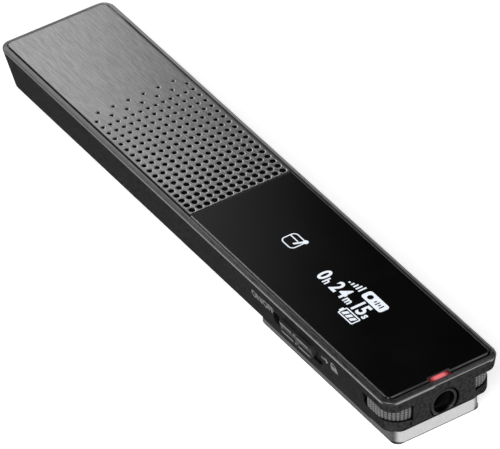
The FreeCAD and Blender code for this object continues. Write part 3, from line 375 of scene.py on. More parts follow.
# Painted shade: the inner step is dark down both sides. Painted light: it is pale at the far end.
STEP_SHADE_AND_LIGHT = surface("step_shade_and_light", 28, 40, (0.5, 0.6), 4.0, bump=0.0, layers=(
    (by_place("Y", 44, 47), 130, 150),))
print("rim finishes:", RIM_METAL.name, LOW_EDGE_HIGHLIGHT.name, STEP_SHADE_AND_LIGHT.name)

# %% [markdown]
# ## The brushed plate
# The plate is aluminium brushed along its length, then tinted grey. Brushing
# leaves scratches a few hundredths of a millimetre wide and several millimetres
# long. Two layers of stretched noise make them: a fine layer for single marks
# and a broad layer for the streaks that the eye sees first. The metal among the
# holes is painted paler, a painted reflection. Punching leaves a small rounded lip
# round each hole; it is painted pale where it leans to the far end, a painted
# highlight. The insides of the holes are painted black, a painted shade.

# %% Plate finishes
MARK_ENDS = (0.75, 1.25)
PLATE_SIDE = 8.75


def brushed_finish():
    """Colour, roughness and bump follow the same lengthwise marks, the sum of two noises."""
    material, tree, shader = new_finish("brushed_plate", metallic=1.0)
    marks = maths(tree, "ADD", noise(tree, (13.0, 0.7, 4.0), roughness=0.6),
                  noise(tree, (4.0, 0.3, 2.0), roughness=0.6))
    # Painted reflection: the metal among the holes is paler.
    sheen_among_holes = by_place("Y", 22, 4, smooth=True)(tree)
    colour = blend_colours(tree, sheen_among_holes, tones(tree, marks, 143, 177, MARK_ENDS),
                           tones(tree, marks, 166, 200, MARK_ENDS))
    dress(tree, shader, colour, marks, (0.24, 0.30), MARK_ENDS)
    raise_grain(tree, shader, marks, 0.2, 0.006)
    return material


BRUSHED_PLATE = brushed_finish()
# The lips of the holes and the border's bevel: a painted highlight where they lean to the far
# end, painted shade where they lean steeply to the near end or lie at the side.
LIP_HIGHLIGHT_AND_SHADE = surface("lip_highlight_and_shade", 104, 126, (0.5, 0.6), 5.0, bump=0.0, specular=0.3, layers=(
    (by_facing("Y", -0.12, 0.12, smooth=True), 196, 226),
    (joined("MAXIMUM", by_facing("Y", -0.42, -0.62),
            by_place("X", PLATE_SIDE - 0.04, PLATE_SIDE, mirrored=True)), 50, 66)))
# Painted shade: the inside of each hole is black.
HOLE_SHADE = surface("hole_shade", 4, 8, (0.6, 0.7), 6.0, specular=0.1)
print("plate finishes:", BRUSHED_PLATE.name, LIP_HIGHLIGHT_AND_SHADE.name, HOLE_SHADE.name)

# %% [markdown]
# ## Glass and light
# The window is dark glass over a display that is off except for its figures.
# The record light is a red moulding lit from below, with a bright bar along its
# middle.

# %% Window and light finishes
WINDOW_BLACK = surface("window_black", 3, 5, (0.17, 0.20), 0.15, bump=0.02, depth=0.002, fine=0.8)
# Painted highlight: a pale metal laid on the glass bevel.
BEVEL_HIGHLIGHT = surface("bevel_highlight", 150, 170, (0.30, 0.36), 2.0, bump=0.05, depth=0.002,
                        metallic=1.0)
GLOW_X, GLOW_Y, GLOW_LONG, GLOW_WIDE = -0.18, -49.86, 1.62, 0.58


def lit_light():
    """Red with a bright bar along its middle that falls off to the sides and ends.

    The distance is the fourth root of x to the fourth plus y to the fourth,
    which is level along a rounded bar where a plain length is level on an oval.
    """
    material, tree, shader = new_finish("light_red")
    place = add_node(tree, "TexCoord").outputs["Object"]
    from_centre = add_node(tree, "Mapping", {
        "Vector": place, "Scale": (1 / (GLOW_LONG * MM), 1 / (GLOW_WIDE * MM), 0.0),
        "Location": (-GLOW_X / GLOW_LONG, -GLOW_Y / GLOW_WIDE, 0.0)}).outputs["Vector"]
    squared = add_node(tree, "VectorMath", {0: from_centre, 1: from_centre},
                       operation="MULTIPLY").outputs["Vector"]
    length = add_node(tree, "VectorMath", {0: squared}, operation="LENGTH").outputs["Value"]
    lit = share(tree, maths(tree, "SQRT", length), 1.0, 0.35, smooth=True)
    set_sockets(tree, shader, {
        "Emission Color": blend_colours(tree, lit, (0.045, 0.003, 0.005), (1.0, 0.21, 0.24)),
        "Emission Strength": 0.78, "Roughness": 0.3, "Base Color": blend_colours(
            tree, noise(tree, 1.5), (0.07, 0.004, 0.004), (0.11, 0.006, 0.006))})
    return material


def glowing_figures():
    """White with a little blue, broken by the display's fine rows of dots."""
    material, tree, shader = new_finish("display_figures")
    set_sockets(tree, shader, {
        "Emission Color": blend_colours(tree, noise(tree, 9.0, detail=1.0),
                                        (0.62, 0.68, 0.76), (0.92, 0.96, 1.0)),
        "Emission Strength": 0.9, "Roughness": 0.4, "Base Color": (0.25, 0.26, 0.28, 1.0)})
    return material


LIGHT_RED, DISPLAY_WHITE = lit_light(), glowing_figures()
print("light finishes:", LIGHT_RED.name, DISPLAY_WHITE.name)

# %% [markdown]
# ## The rest of the finishes
# The clip is steel, painted pale on its lip as a painted reflection and dark down
# its sides as painted shade. Most of the others show only through a gap, a hole or
# from behind, but each is still a real finish: moulded rubber, woven mesh, film and foam.

# %% Clip finish
# The pale share, a painted reflection, falls late as a face turns left, and soon as it turns
# right; elsewhere the steel is painted dark as shade.
CLIP_SHEEN_AND_SHADE = surface("clip_metal", 84, 112, (0.28, 0.38), (6.0, 1.2, 6.0), bump=0.3, depth=0.006,
                     fine=(14.0, 3.0, 14.0), metallic=1.0, layers=(
    (joined("MULTIPLY", by_facing("X", 0.55, 0.05, smooth=True),
            by_facing("X", -0.92, -0.5, smooth=True)), 214, 236),))
print("clip finish:", CLIP_SHEEN_AND_SHADE.name)

# %% Small part finishes
LABEL_GREY = surface("label_grey", 118, 136, (0.5, 0.6), 6.0)
SYMBOL_RED = surface("symbol_red", (0.42, 0.02, 0.02), (0.5, 0.03, 0.03), (0.5, 0.6), 6.0)
GRILLE_METAL = surface("grille_metal", 122, 156, (0.30, 0.40), (4.0, 4.0, 1.5), bump=0.3,
                       depth=0.01, fine=(6.0, 6.0, 9.0), metallic=1.0)
# Painted shade: the grooves and the back of each grille are dark.
GRILLE_GROOVE_SHADE = surface("grille_groove_shade", 62, 80, (0.5, 0.6), 4.0)
RING_METAL = surface("ring_metal", 50, 66, (0.32, 0.40), 3.0, bump=0.1, depth=0.003, metallic=1.0)
BLACK_PLASTIC = surface("black_plastic", 20, 28, (0.35, 0.5), 3.0, bump=0.15, depth=0.005,
                        specular=0.45)
surface("key_metal", 52, 64, (0.34, 0.44), (1.5, 5.0, 5.0), metallic=1.0, tint=0.4)
surface("knob_metal", 44, 56, (0.45, 0.55), 3.0, depth=0.005, specular=0.4)
surface("steel", 176, 200, (0.22, 0.32), 3.0, bump=0.15, depth=0.003, metallic=1.0)
surface("pin_steel", 160, 186, (0.2, 0.3), (0.6, 6.0, 6.0), depth=0.003, metallic=1.0)
surface("soft_black", 22, 30, (0.6, 0.75), 4.0, bump=0.3, depth=0.01, specular=0.35)
surface("mesh_cloth", 14, 34, (0.7, 0.85), 7.0, bump=0.6, depth=0.03, specular=0.2)
surface("foam", 40, 62, (0.8, 0.95), 6.0, bump=0.8, depth=0.05, specular=0.2)
surface("adhesive", 14, 20, (0.7, 0.8), 4.0)
surface("display_face", 10, 14, (0.2, 0.3), 1.0)
surface("chip_black", 26, 34, (0.5, 0.6), 8.0)
surface("lamp_white", 206, 222, (0.35, 0.45), 2.0)
surface("cell_wrap", 150, 166, (0.3, 0.42), (0.5, 2.0, 2.0), metallic=0.7)
surface("flex_film", (0.30, 0.12, 0.02), (0.38, 0.16, 0.03), (0.3, 0.4), (1.0, 5.0, 1.0))
surface("board_green", (0.008, 0.05, 0.02), (0.012, 0.08, 0.03), (0.35, 0.5), (0.8, 4.0, 2.0))
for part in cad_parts.values():
    for holder in part.material_slots:
        holder.material = FINISHES[holder.material.name]
print("finishes:", ", ".join(FINISHES))

# %% [markdown]
# ## The rim
# The rim is a frame with a sloped chamfer and a flat top, cut bright at its
# edges. It is one closed profile carried round the bar. The shell leans in
# towards the back by a different amount on each side, so each ring of the sweep
# has its own half width, near end and far end. Each band of the profile has a
# finish of its own.

# %% Rim sizes
rim_low, rim_high = box_of("front_rim")
case_high = box_of("rear_case")[1]
HALF, NEAR, FAR, TOP = rim_high[0], rim_low[1], rim_high[1], rim_high[2]
WIDEST_Z, SEAM_Z, LEDGE_Z, STEP_Z, SKIRT_Z = 9.38, 8.75, 9.05, 9.42, 8.2
CHAMFER, LIP, STEP, SKIRT, LEDGE = 0.63, 0.75, 0.95, 1.05, 1.80
OUTER_ROUND, NOTCH_REACH = 2.0, 0.55
SIDE_LEAN = (HALF - case_high[0]) / (WIDEST_Z - SEAM_Z)
FAR_LEAN = (FAR - case_high[1]) / (WIDEST_Z - SEAM_Z)
# The inset and height of each point once round the profile, and the finish of the
# band after it: 0 is the rim's own metal, 1 the dark shell metal, 2 the low edge
# with its painted highlight and 3 the inner step with its painted shade and light.
# Both edges of the chamfer are rounded.
RIM_PROFILE = (
    (0.0, SEAM_Z, 1), (0.0, WIDEST_Z - 0.26, 2), (0.025, WIDEST_Z - 0.10, 2),
    (0.09, WIDEST_Z + 0.02, 2), (0.22, WIDEST_Z + 0.22 * (TOP - WIDEST_Z) / CHAMFER, 0),
    (0.56, TOP - 0.030, 0), (0.60, TOP - 0.012, 0), (0.65, TOP, 0), (0.70, TOP, 0),
    (0.735, TOP - 0.010, 0), (LIP, TOP - 0.035, 3), (LIP, STEP_Z, 0), (STEP, STEP_Z, 1),
    (STEP, LEDGE_Z, 1), (LEDGE, LEDGE_Z, 1), (LEDGE, SKIRT_Z, 1), (SKIRT, SKIRT_Z, 1),
    (SKIRT, SEAM_Z, 1))
print("the walls lean in by", round(SIDE_LEAN, 3), "and", round(FAR_LEAN, 3))


# %% Rim
def rim_ring(inset, z):
    """The rim's outline moved in by inset at height z.

    Below the widest line the sides and the far end lean in with depth. The lip is
    open at the record light.
    """
    depth = max(WIDEST_Z - z, 0.0) if inset < CHAMFER else 0.0
    notch = NOTCH_REACH - inset if NOTCH_REACH < inset <= LIP and z >= LEDGE_Z else 0.0
    return outline_ring(HALF - inset - SIDE_LEAN * depth, NEAR + inset,
                        FAR - inset - FAR_LEAN * depth, OUTER_ROUND - inset,
                        OUTER_ROUND - inset, z, notch)


rim_rings = [rim_ring(inset, z) for inset, z, _ in RIM_PROFILE]
rim = add_rings("bright_cut_rim", rim_rings, True, "case", "rim_metal", RIM_METAL,
                smooth_below=25.0)
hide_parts("front_rim")
finish_faces(rim, (DARK_METAL, LOW_EDGE_HIGHLIGHT, STEP_SHADE_AND_LIGHT),
             np.repeat([finish for *_, finish in RIM_PROFILE], len(rim_rings[0])))

# %% [markdown]
# ## The window
# The window is a sheet of dark glass with a polished bevel all the way round.
# The bevel is narrow, but it is what tells the eye that this is glass: it turns
# towards other parts of the room than the flat face does. Along both sides and
# the near end it is given a pale metal finish, a painted highlight that draws a
# thin bright line. The sweep is open, so both ends get a cap. The far bevel meets
# the plate and keeps the black glass, and so do the corners.

# %% Window
glass_low, glass_high = box_of("display_window")
NOTCH_HALF, NOTCH_FAR, NEAR_ROUND, FAR_ROUND = 1.7, -49.35, 0.8, 0.25
BEVEL, FLAT_FROM, PAST_NEAR = 0.24, 0.29, 0.15


def glass_ring(inset, z):
    """The window's outline moved in by inset, with the notch for the record light."""
    near = glass_low[1] - PAST_NEAR + inset
    return outline_ring(glass_high[0] - inset, near, glass_high[1] - inset, NEAR_ROUND - inset,
                        FAR_ROUND - inset, z, NOTCH_FAR + inset - near, NOTCH_HALF + inset)


glass_rings = [glass_ring(0.0, glass_low[2])]
glass_rings += [glass_ring(BEVEL * (1 - math.cos(t)), glass_high[2] - BEVEL * (1 - math.sin(t)))
                for t in np.linspace(0.0, math.pi / 2, 4)]
glass_rings.append(glass_ring(FLAT_FROM, glass_high[2]))
window = add_rings("polished_window", glass_rings, False, "case", "window_black", WINDOW_BLACK,
                   smooth_below=40.0)
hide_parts("display_window")
normals = np.zeros(len(window.data.polygons) * 3)
window.data.polygons.foreach_get("normal", normals)
sideways, towards_far, tilt = normals.reshape(-1, 3).T
# Painted highlight on the bevel's sides and near end; the far side and the corners keep the black
# glass.
on_bevel = (tilt > 0.15) & (tilt < 0.97)
off_corners = np.abs(sideways * towards_far) < 0.08
finish_faces(window, (BEVEL_HIGHLIGHT,), on_bevel & off_corners & (towards_far < 0.1))

# %% [markdown]
# ## The perforated plate
# The plate has 234 round holes that shrink and spread with distance from the
# window, until the last two columns keep only every other hole. Cutting them
# with a boolean is slow and leaves long thin faces. Instead the plate is tiled:
# each tile is a ring of points that starts on the tile's straight edges and
# ends on the hole. All tiles come from one formula and share their edges.

# %% Holes of the plate
plate_low, plate_high = box_of("front_plate")
COLUMNS, ROWS, AROUND = 19, 13, 16
PER_SIDE = AROUND // 4
FIRST_HOLE, FIRST_PITCH, PITCH_GROWTH, ROW_PITCH = 0.76, 1.3, 0.4, 1.342
BIG_HOLE, SMALL_HOLE, HOLE_BEVEL, HOLE_DIP = 0.51, 0.26, 0.15, 0.055

steps = FIRST_PITCH + PITCH_GROWTH * (np.arange(COLUMNS - 1) + 0.5) / (COLUMNS - 1)
column_y = plate_low[1] + FIRST_HOLE + np.append(0.0, np.cumsum(steps))
radii = np.linspace(BIG_HOLE, SMALL_HOLE, COLUMNS)
row_x = (np.arange(ROWS) - (ROWS - 1) / 2) * ROW_PITCH
middles = (column_y[1:] + column_y[:-1]) / 2
tile_edges = np.concatenate(([2 * column_y[0] - middles[0]], middles,
                             [2 * column_y[-1] - middles[-1]]))
tile_y, tile_half = (tile_edges[1:] + tile_edges[:-1]) / 2, np.diff(tile_edges) / 2
punched = np.ones((COLUMNS, ROWS), bool)
punched[-2, 1::2] = False
punched[-1, 0::2] = False
print("holes:", int(punched.sum()), "columns from", round(column_y[0], 2), "to",
      round(column_y[-1], 2))


# %% Tiles of the plate
def tile_square():
    """Points of a square from -1 to 1 at even steps along its sides, and of a circle.

    Both start at the right and go anticlockwise, so point meets point.
    """
    turn = np.arange(AROUND) * 2 * math.pi / AROUND
    side, step = np.divmod(np.arange(AROUND) + PER_SIDE // 2, PER_SIDE)
    even = step / (PER_SIDE / 2) - 1
    right, up = np.array((1, 0, -1, 0))[side % 4], np.array((0, 1, 0, -1))[side % 4]
    edge = np.stack((right - even * up, up + even * right), axis=-1)
    return edge, np.stack((np.cos(turn), np.sin(turn)), axis=-1)


square, circle = tile_square()


def tile_rings(spots, levels):
    """Rings of points for every tile: where wider is None, along the tile's straight edges.

    Elsewhere they lie on a circle, of the hole's radius and so much wider.
    """
    column, row = spots
    rings = []
    for wider, z in levels:
        if wider is None:
            shape, middle, half = square, tile_y[column], tile_half[column]
            half_x = np.full_like(half, ROW_PITCH / 2)
        else:
            shape, middle, half = circle, column_y[column], radii[column] + wider
            half_x = half
        x = row_x[row][:, None] + shape[:, 0] * half_x[:, None]
        y = middle[:, None] + shape[:, 1] * half[:, None]
        rings.append(np.stack((x, y, np.full_like(x, z)), axis=-1))
    return np.stack(rings, axis=1)


base, top = plate_low[2], plate_high[2]
# From the lower tile edge in to the hole, up its wall and out to the upper edge.
hole_tiles = tile_rings(np.nonzero(punched), (
    (None, base), (0.0, base), (0.0, top - HOLE_DIP), (HOLE_BEVEL, top), (None, top)))
# A tile without a hole is closed below and above by one flat face.
blank_tiles = tile_rings(np.nonzero(~punched), ((None, base), (None, top)))
tile_points, blank_points = hole_tiles.reshape(-1, 3), blank_tiles.reshape(-1, 3)
one_tile = np.array(ring_faces(5, AROUND, False)[:-2])
tile_faces = one_tile + (np.arange(len(hole_tiles)) * 5 * AROUND)[:, None, None]
blank_faces = len(tile_points) + np.arange(len(blank_points)).reshape(-1, AROUND)
print("tiles with a hole:", len(hole_tiles), "and without:", len(blank_tiles))

# %% [markdown]
# ## The plate's border
# Between the tiles and the plate's edge lies a border. Its inner loop uses the
# tiles' own edge points, so the two meet without a gap, and its outer loops
# carry the edge's small bevel down to the underside. The border reaches a little
# past the CAD plate at the sides and the far end, so no gap shows round it.

# %% Plate border
PAST_SIDE, PAST_END, PLATE_ROUND, EDGE_BEVEL = 0.09, 0.06, 0.9, 0.1
CORNER_SHARE = 0.12


def border_loop():
    """The tiles' edge points once round, anticlockwise from the near left corner."""
    across = np.linspace(-ROWS, ROWS, ROWS * PER_SIDE + 1) * ROW_PITCH / 2
    part = np.arange(PER_SIDE) / PER_SIDE
    along = (tile_edges[:-1, None] + part * np.diff(tile_edges)[:, None]).ravel()
    along = np.append(along, tile_edges[-1])
    sides = ((across, along[0]), (across[-1], along[1:]), (across[-2::-1], along[-1]),
             (across[0], along[-2:0:-1]))
    return np.concatenate([np.column_stack(np.broadcast_arrays(x, y)) for x, y in sides])


def spread_loop(inner, inset):
    """Each inner point moved straight out to the plate's outline, less inset.

    At the far end, the first and the last share of the points lie on quarter
    circles and the rest on the straight run between them.
    """
    half, radius = plate_high[0] + PAST_SIDE - inset, PLATE_ROUND - inset
    (left, low), (right, high) = inner.min(0), inner.max(0)
    outer = inner.copy()
    outer[inner[:, 0] == left, 0] = -half
    outer[inner[:, 0] == right, 0] = half
    outer[inner[:, 1] == low, 1] = plate_low[1] + inset
    beyond = inner[:, 1] == high
    part = (inner[beyond, 0] - left) / (right - left)
    reach = np.interp(part, (0.0, CORNER_SHARE, 1.0 - CORNER_SHARE, 1.0), (-1.0, 0.0, 1.0, 2.0))
    straight = np.clip(reach, 0.0, 1.0)
    turn = np.abs(reach - straight) * math.pi / 2
    side = np.where(reach > 0.5, 1.0, -1.0)
    outer[beyond, 0] = (2 * straight - 1) * (half - radius) + side * np.sin(turn) * radius
    outer[beyond, 1] = plate_high[1] + PAST_END - inset - radius + np.cos(turn) * radius
    return outer


inner_loop = border_loop()
rim_loop, top_loop = spread_loop(inner_loop, 0.0), spread_loop(inner_loop, EDGE_BEVEL)
loops = ((inner_loop, base), (rim_loop, base), (rim_loop, top - EDGE_BEVEL), (top_loop, top),
         (inner_loop, top))
border_points = np.concatenate([np.column_stack((xy, np.full(len(xy), z))) for xy, z in loops])
border_faces = np.array(ring_faces(len(loops), len(inner_loop), False)[:-2])
border_faces += len(tile_points) + len(blank_points)
plate = add_piece("perforated_plate", np.concatenate((tile_points, blank_points, border_points)),
                  tile_faces.reshape(-1, 4).tolist() + blank_faces.tolist()
                  + border_faces.tolist(), "case", "brushed_plate", BRUSHED_PLATE,
                  smooth_below=15.0)
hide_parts("front_plate")
# 0 is the brushed metal, 1 the inside of a hole, painted black as shade, 2 a hole's lip or the
# border's bevel, with its painted highlight and shade.
tile_finish = np.tile(np.repeat((0, 1, 2, 0), AROUND), punched.sum())
border_finish = np.repeat((0, 0, 2, 0), len(inner_loop))
finish_faces(plate, (HOLE_SHADE, LIP_HIGHLIGHT_AND_SHADE),
             np.concatenate((tile_finish, np.zeros(len(blank_faces)), border_finish)))

# %% [markdown]
# ## Flat drawings
# The display's figures, the labels on the wall and the symbols on the keys are
# all flat drawings. Each is drawn in a plane of its own, with a right, a top and
# a height from -1 to 1, and then laid on a surface of the recorder. Words come
# from Blender's own font, made into a mesh first. Signs are drawn from slabs:
# one outline at both heights.

# %% Drawings
def font_mesh(words, tall):
    """Points and faces of a line of text that starts at the origin, its capitals so tall."""
    curve = bpy.data.curves.new("figures", "FONT")
    curve.body, curve.extrude, curve.offset, curve.resolution_u = words, 0.5, 0.03, 6
    holder = bpy.data.objects.new("figures", curve)
    bpy.context.scene.collection.objects.link(holder)
    bpy.context.view_layer.update()
    mesh = bpy.data.meshes.new_from_object(
        holder.evaluated_get(bpy.context.evaluated_depsgraph_get()))
    points = np.zeros(len(mesh.vertices) * 3)
    mesh.vertices.foreach_get("co", points)
    points = points.reshape(-1, 3)
    faces = [list(face.vertices) for face in mesh.polygons]
    bpy.data.objects.remove(holder)
    bpy.data.meshes.remove(mesh)
    bpy.data.curves.remove(curve)
    points[:, :2] -= points[:, :2].min(0)
    points[:, :2] *= tall / points[:, 1].max()
    points[:, 2] = np.sign(points[:, 2])
    return points, faces


def slab(flat):
    """An outline at heights -1 and 1, with a face between them all round and two caps."""
    rings = [np.column_stack((flat, np.full(len(flat), side))) for side in (-1.0, 1.0)]
    return np.concatenate(rings), ring_faces(2, len(flat), False)


def bar(along, across, half_along, half_across, round_by, lean=0.0):
    """A slab with quarter circles at its corners, whose top leans to the right."""
    flat = rounded(half_along, -half_across, half_across, round_by, round_by, 4)
    flat[:, 0] += lean * flat[:, 1]
    return slab(flat + (along, across))


def frame_of_bars(along, across, half_along, half_across, thick, round_by):
    """A rounded outline: the ring between a bar and a smaller one."""
    outer, _ = bar(along, across, half_along, half_across, round_by)
    inner, _ = bar(along, across, half_along - thick, half_across - thick,
                   max(round_by - thick, 0.02))
    count = len(outer) // 2
    rings = np.concatenate((outer[:count], outer[count:], inner[count:], inner[:count]))
    return rings, ring_faces(4, count, True)


# %% Laying a drawing
def lay(name, drawings, place, at=(0.0, 0.0), body="case", slot="display_face",
        finish=LABEL_GREY):
    """Join drawings, move them along their own plane and carry them onto a surface.

    The surface is a function from right, top and height to x, y and z.
    """
    counts = np.cumsum([0] + [len(points) for points, _ in drawings])
    points = np.concatenate([points for points, _ in drawings]) + (*at, 0.0)
    faces = [[first + i for i in face]
             for first, (_, more) in zip(counts.tolist(), drawings) for face in more]
    return add_piece(name, np.column_stack(place(*points.T)), faces, body, slot, finish)


# %% [markdown]
# ## The display's figures
# The display shows white figures through the glass: the time recorded so far, a
# battery, a rising level, a filled pill and a page with a microphone. They read
# along the bar, from the far end to the near end, with their tops towards the
# keys.

# %% Display figures
FIGURE_Z, FIGURE_THICK = glass_high[2] + 0.004, 0.012
DIGIT, TIME_LONG, DIGIT_NARROW, LETTER_NARROW = 2.5, 12.0, 0.80, 0.86


def on_glass(right, top, height):
    """Right is the near end and top is the keys' side."""
    return top, -right, FIGURE_Z + height * FIGURE_THICK / 2


def on_pill(right, top, height):
    """As on the glass, but half a figure higher, for marks on a filled figure."""
    return on_glass(right, top, height + 1.0)


def elapsed_time():
    """Large digits with small letters for hours, minutes and seconds between them."""
    drawings, pen = [], 0.0
    for sign, tall, gap in zip("0h24m15s", (DIGIT, 1.5, DIGIT, DIGIT, 1.05, DIGIT, DIGIT, 1.05),
                               (0.26, 0.75, 0.32, 0.26, 0.8, 0.45, 0.28, 0.0)):
        points, faces = font_mesh(sign, tall)
        points[:, 0] = points[:, 0] * (DIGIT_NARROW if tall == DIGIT else LETTER_NARROW) + pen
        pen = points[:, 0].max() + gap
        drawings.append((points, faces))
    return [(points * (TIME_LONG / pen, 1.0, 1.0), faces) for points, faces in drawings]


lay("time_figures", elapsed_time(), on_glass, (21.5, -1.87), finish=DISPLAY_WHITE)
lay("battery_sign", [
    frame_of_bars(31.75, -3.03, 1.75, 0.86, 0.22, 0.25), bar(29.85, -3.03, 0.16, 0.4, 0.08)] + [
    bar(along, -3.03, 0.30, 0.45, 0.06, 0.35) for along in (30.85, 31.75, 32.65)],
    on_glass, finish=DISPLAY_WHITE)
lay("level_sign", [bar(25.6 + 0.6 * i, 1.35 + 0.14 * i, 0.15, 0.16 + 0.14 * i, 0.05)
                   for i in range(5)], on_glass, finish=DISPLAY_WHITE)
lay("recording_sign", [bar(31.3, 1.86, 2.4, 0.96, 0.5)], on_glass, finish=DISPLAY_WHITE)
lay("recording_sign_marks", [bar(30.1, 1.86, 0.5, 0.5, 0.49)] + [
    bar(31.35 + 0.5 * i, 1.86, 0.12, 0.25 + 0.2 * (i % 2), 0.05) for i in range(4)],
    on_pill, slot="window_black", finish=WINDOW_BLACK)
lay("microphone_sign", [
    frame_of_bars(13.25, 0.05, 1.5, 1.42, 0.2, 0.8), bar(12.85, 0.48, 0.95, 0.1, 0.05),
    bar(14.15, 0.5, 0.2, 0.9, 0.18, 0.42), bar(14.55, 1.35, 0.42, 0.42, 0.4)],
    on_glass, finish=DISPLAY_WHITE)
print("display figures at height", round(FIGURE_Z, 3))

# %% [markdown]
# ## The labels beside the switch
# Two grey labels are printed on the side wall. ON/OFF stands at the far end of
# the switch's travel. An arrow and a padlock stand at the near end. Each is laid
# on the leaning wall and read with its top towards the rim.

# %% Labels on the side wall
LABEL_THICK, LABEL_Z = 0.008, 6.8
POWER_AT, HOLD_AT, SHACKLE_LEG = 19.2, 36.15, 0.25


def from_middle(top, height, proud=0.0):
    """How far a side wall, and a label's height above it, is from the middle plane."""
    return HALF - SIDE_LEAN * (WIDEST_Z - top) + proud + LABEL_THICK * (height + 1.2) / 2


def on_left_wall(right, top, height):
    """Right is the near end and top is the rim."""
    return -from_middle(top, height), -right, top


def centred(words, tall, narrow):
    """Text whose middle is at the origin, with its letters narrowed by a share."""
    points, faces = font_mesh(words, tall)
    points[:, :2] -= points[:, :2].max(0) / 2
    return points * (narrow, 1.0, 1.0), faces


def shackle(along, low, radius, thick):
    """Half a ring standing on two legs: the bow of a padlock."""
    turn = np.linspace(0.0, math.pi, 9)
    half_ring = np.column_stack((np.cos(turn), np.sin(turn)))
    outer, inner = radius + thick / 2, radius - thick / 2
    outline = np.concatenate(([[outer, -SHACKLE_LEG]], half_ring * outer,
                              [[-outer, -SHACKLE_LEG], [-inner, -SHACKLE_LEG]],
                              half_ring[::-1] * inner, [[inner, -SHACKLE_LEG]]))
    return slab(outline + (along, low + SHACKLE_LEG))


def chevron(along, tall, thick):
    """An arrow head that points to the drawing's right."""
    half = tall / 2
    return slab(np.array(((-half, -half), (thick - half, -half), (thick, 0.0),
                          (thick - half, half), (-half, half), (0.0, 0.0)))
                * (0.8, 1.0) + (along, 0.0))


lay("power_label", [centred("ON/OFF", 1.45, 0.8)], on_left_wall, (POWER_AT, LABEL_Z))
lay("hold_label", [bar(-1.5, 0.0, 0.68, 0.13, 0.06), chevron(-0.75, 1.1, 0.4),
                   bar(0.95, -0.36, 0.82, 0.52, 0.14), shackle(0.95, 0.1, 0.48, 0.26)],
    on_left_wall, (HOLD_AT, LABEL_Z))
print("labels at", -POWER_AT, "and", -HOLD_AT, "mm along the bar")

# %% [markdown]
# ## The symbols on the keys
# The seven keys on the right wall carry the symbols that players and recorders
# share: a disc, a square, a triangle with two bars, double triangles each way, a
# hooked arrow's head and three lines. Each symbol rides on its own key.

# %% Key symbols
KEY_PROUD = 0.3


def on_key(right, top, height):
    """Right is the far end and top is the rim, on a face proud of the right wall."""
    return from_middle(top, height, KEY_PROUD), right, top


def tip(along, reach, tall=0.86):
    """A filled triangle from its upright side at along to its point, reach away."""
    return slab(np.array(((along, -tall / 2), (along + reach, 0.0), (along, tall / 2))))


SYMBOLS = {
    "record": [bar(0.0, 0.0, 0.42, 0.42, 0.419)],
    "stop": [bar(0.0, 0.0, 0.4, 0.4, 0.05)],
    "play": [tip(-0.85, 0.75), bar(0.2, 0.0, 0.1, 0.43, 0.04), bar(0.6, 0.0, 0.1, 0.43, 0.04)],
    "forward": [tip(-0.75, 0.72), tip(0.05, 0.72)],
    "rewind": [tip(0.75, -0.72), tip(-0.05, -0.72)],
    "back": [tip(-0.3, -0.6, 0.9), bar(0.25, 0.0, 0.55, 0.11, 0.05)],
    "option": [bar(0.0, rise, 0.6, 0.09, 0.05) for rise in (-0.34, 0.0, 0.34)],
}
for word, drawings in SYMBOLS.items():
    middle = sum(box_of(word + "_key")) / 2
    lay(word + "_key_symbol", drawings, on_key, middle[1:], word + "_button",
        finish=SYMBOL_RED if word == "record" else LABEL_GREY)
print("key symbols:", ", ".join(SYMBOLS))

# %% [markdown]
# ## Painted highlights on the knob
# The switch's knob has four raised ribs for the thumb. A thin pale bar lies on each
# as a painted highlight, with a pale dot between the two of a row.

# %% Knob marks
knob_low, knob_high = box_of("switch_knob")
knob_middle = (knob_low + knob_high) / 2
KNOB_LEAN, MARK_SINK, MARK_THICK = 0.21, 0.006, 0.014
MARK_ROW, MARK_ALONG = 0.88, ((-2.1, 1.42), (2.1, 1.42), (0.0, 0.2))


def on_knob(right, top, height):
    """Right is the near end, on a face that leans out with depth below its top."""
    face = knob_low[0] + KNOB_LEAN * (knob_high[2] - top)
    return face + MARK_SINK - MARK_THICK * (height + 1) / 2, -right, top


# Painted highlights: pale bars on the ribs and pale dots between them.
lay("knob_rib_highlights", [bar(along, row, half, 0.17, 0.12)
                   for along, half in MARK_ALONG for row in (-MARK_ROW, MARK_ROW)],
    on_knob, (-knob_middle[1], knob_middle[2]), "switch")
print("knob marks:", 2 * len(MARK_ALONG))

# %% [markdown]
# ## The microphone grilles
# Each near corner has a metal grille over a microphone. It bends round the
# corner and is cut by upright grooves, with finer grooves across them. Its
# outer face is a grid: one parameter runs along the bend and the other up the
# grille, and the depth of the grooves is the sum of a wave along each.

# %% Grilles
RIB_PITCH, ROW_HEIGHT, RIB_DEPTH, ROW_DEPTH, EDGE_DEPTH = 0.62, 0.42, 0.16, 0.06, 0.10
PER_RIB, PER_ROW, END_ROUND = 12, 6, 0.6
BEND, GRILLE_THICK, PAST_BEND, LOWER_REACH = 3.5, 0.6, 0.3, 0.2


def bend_path(length, straight):
    """Places and outward directions along a straight run, a quarter circle and past it.

    Lengths up to the straight run go towards the near end; beyond it the angle
    grows with length over radius, and past the quarter circle the run is level.
    """
    angle = np.clip((length - straight) / BEND, 0.0, math.pi / 2)
    outward = np.column_stack((np.cos(angle), -np.sin(angle)))
    runs = np.column_stack((-np.clip(length - straight - BEND * math.pi / 2, 0.0, None),
                            np.clip(straight - length, 0.0, None)))
    return outward * BEND + runs, outward


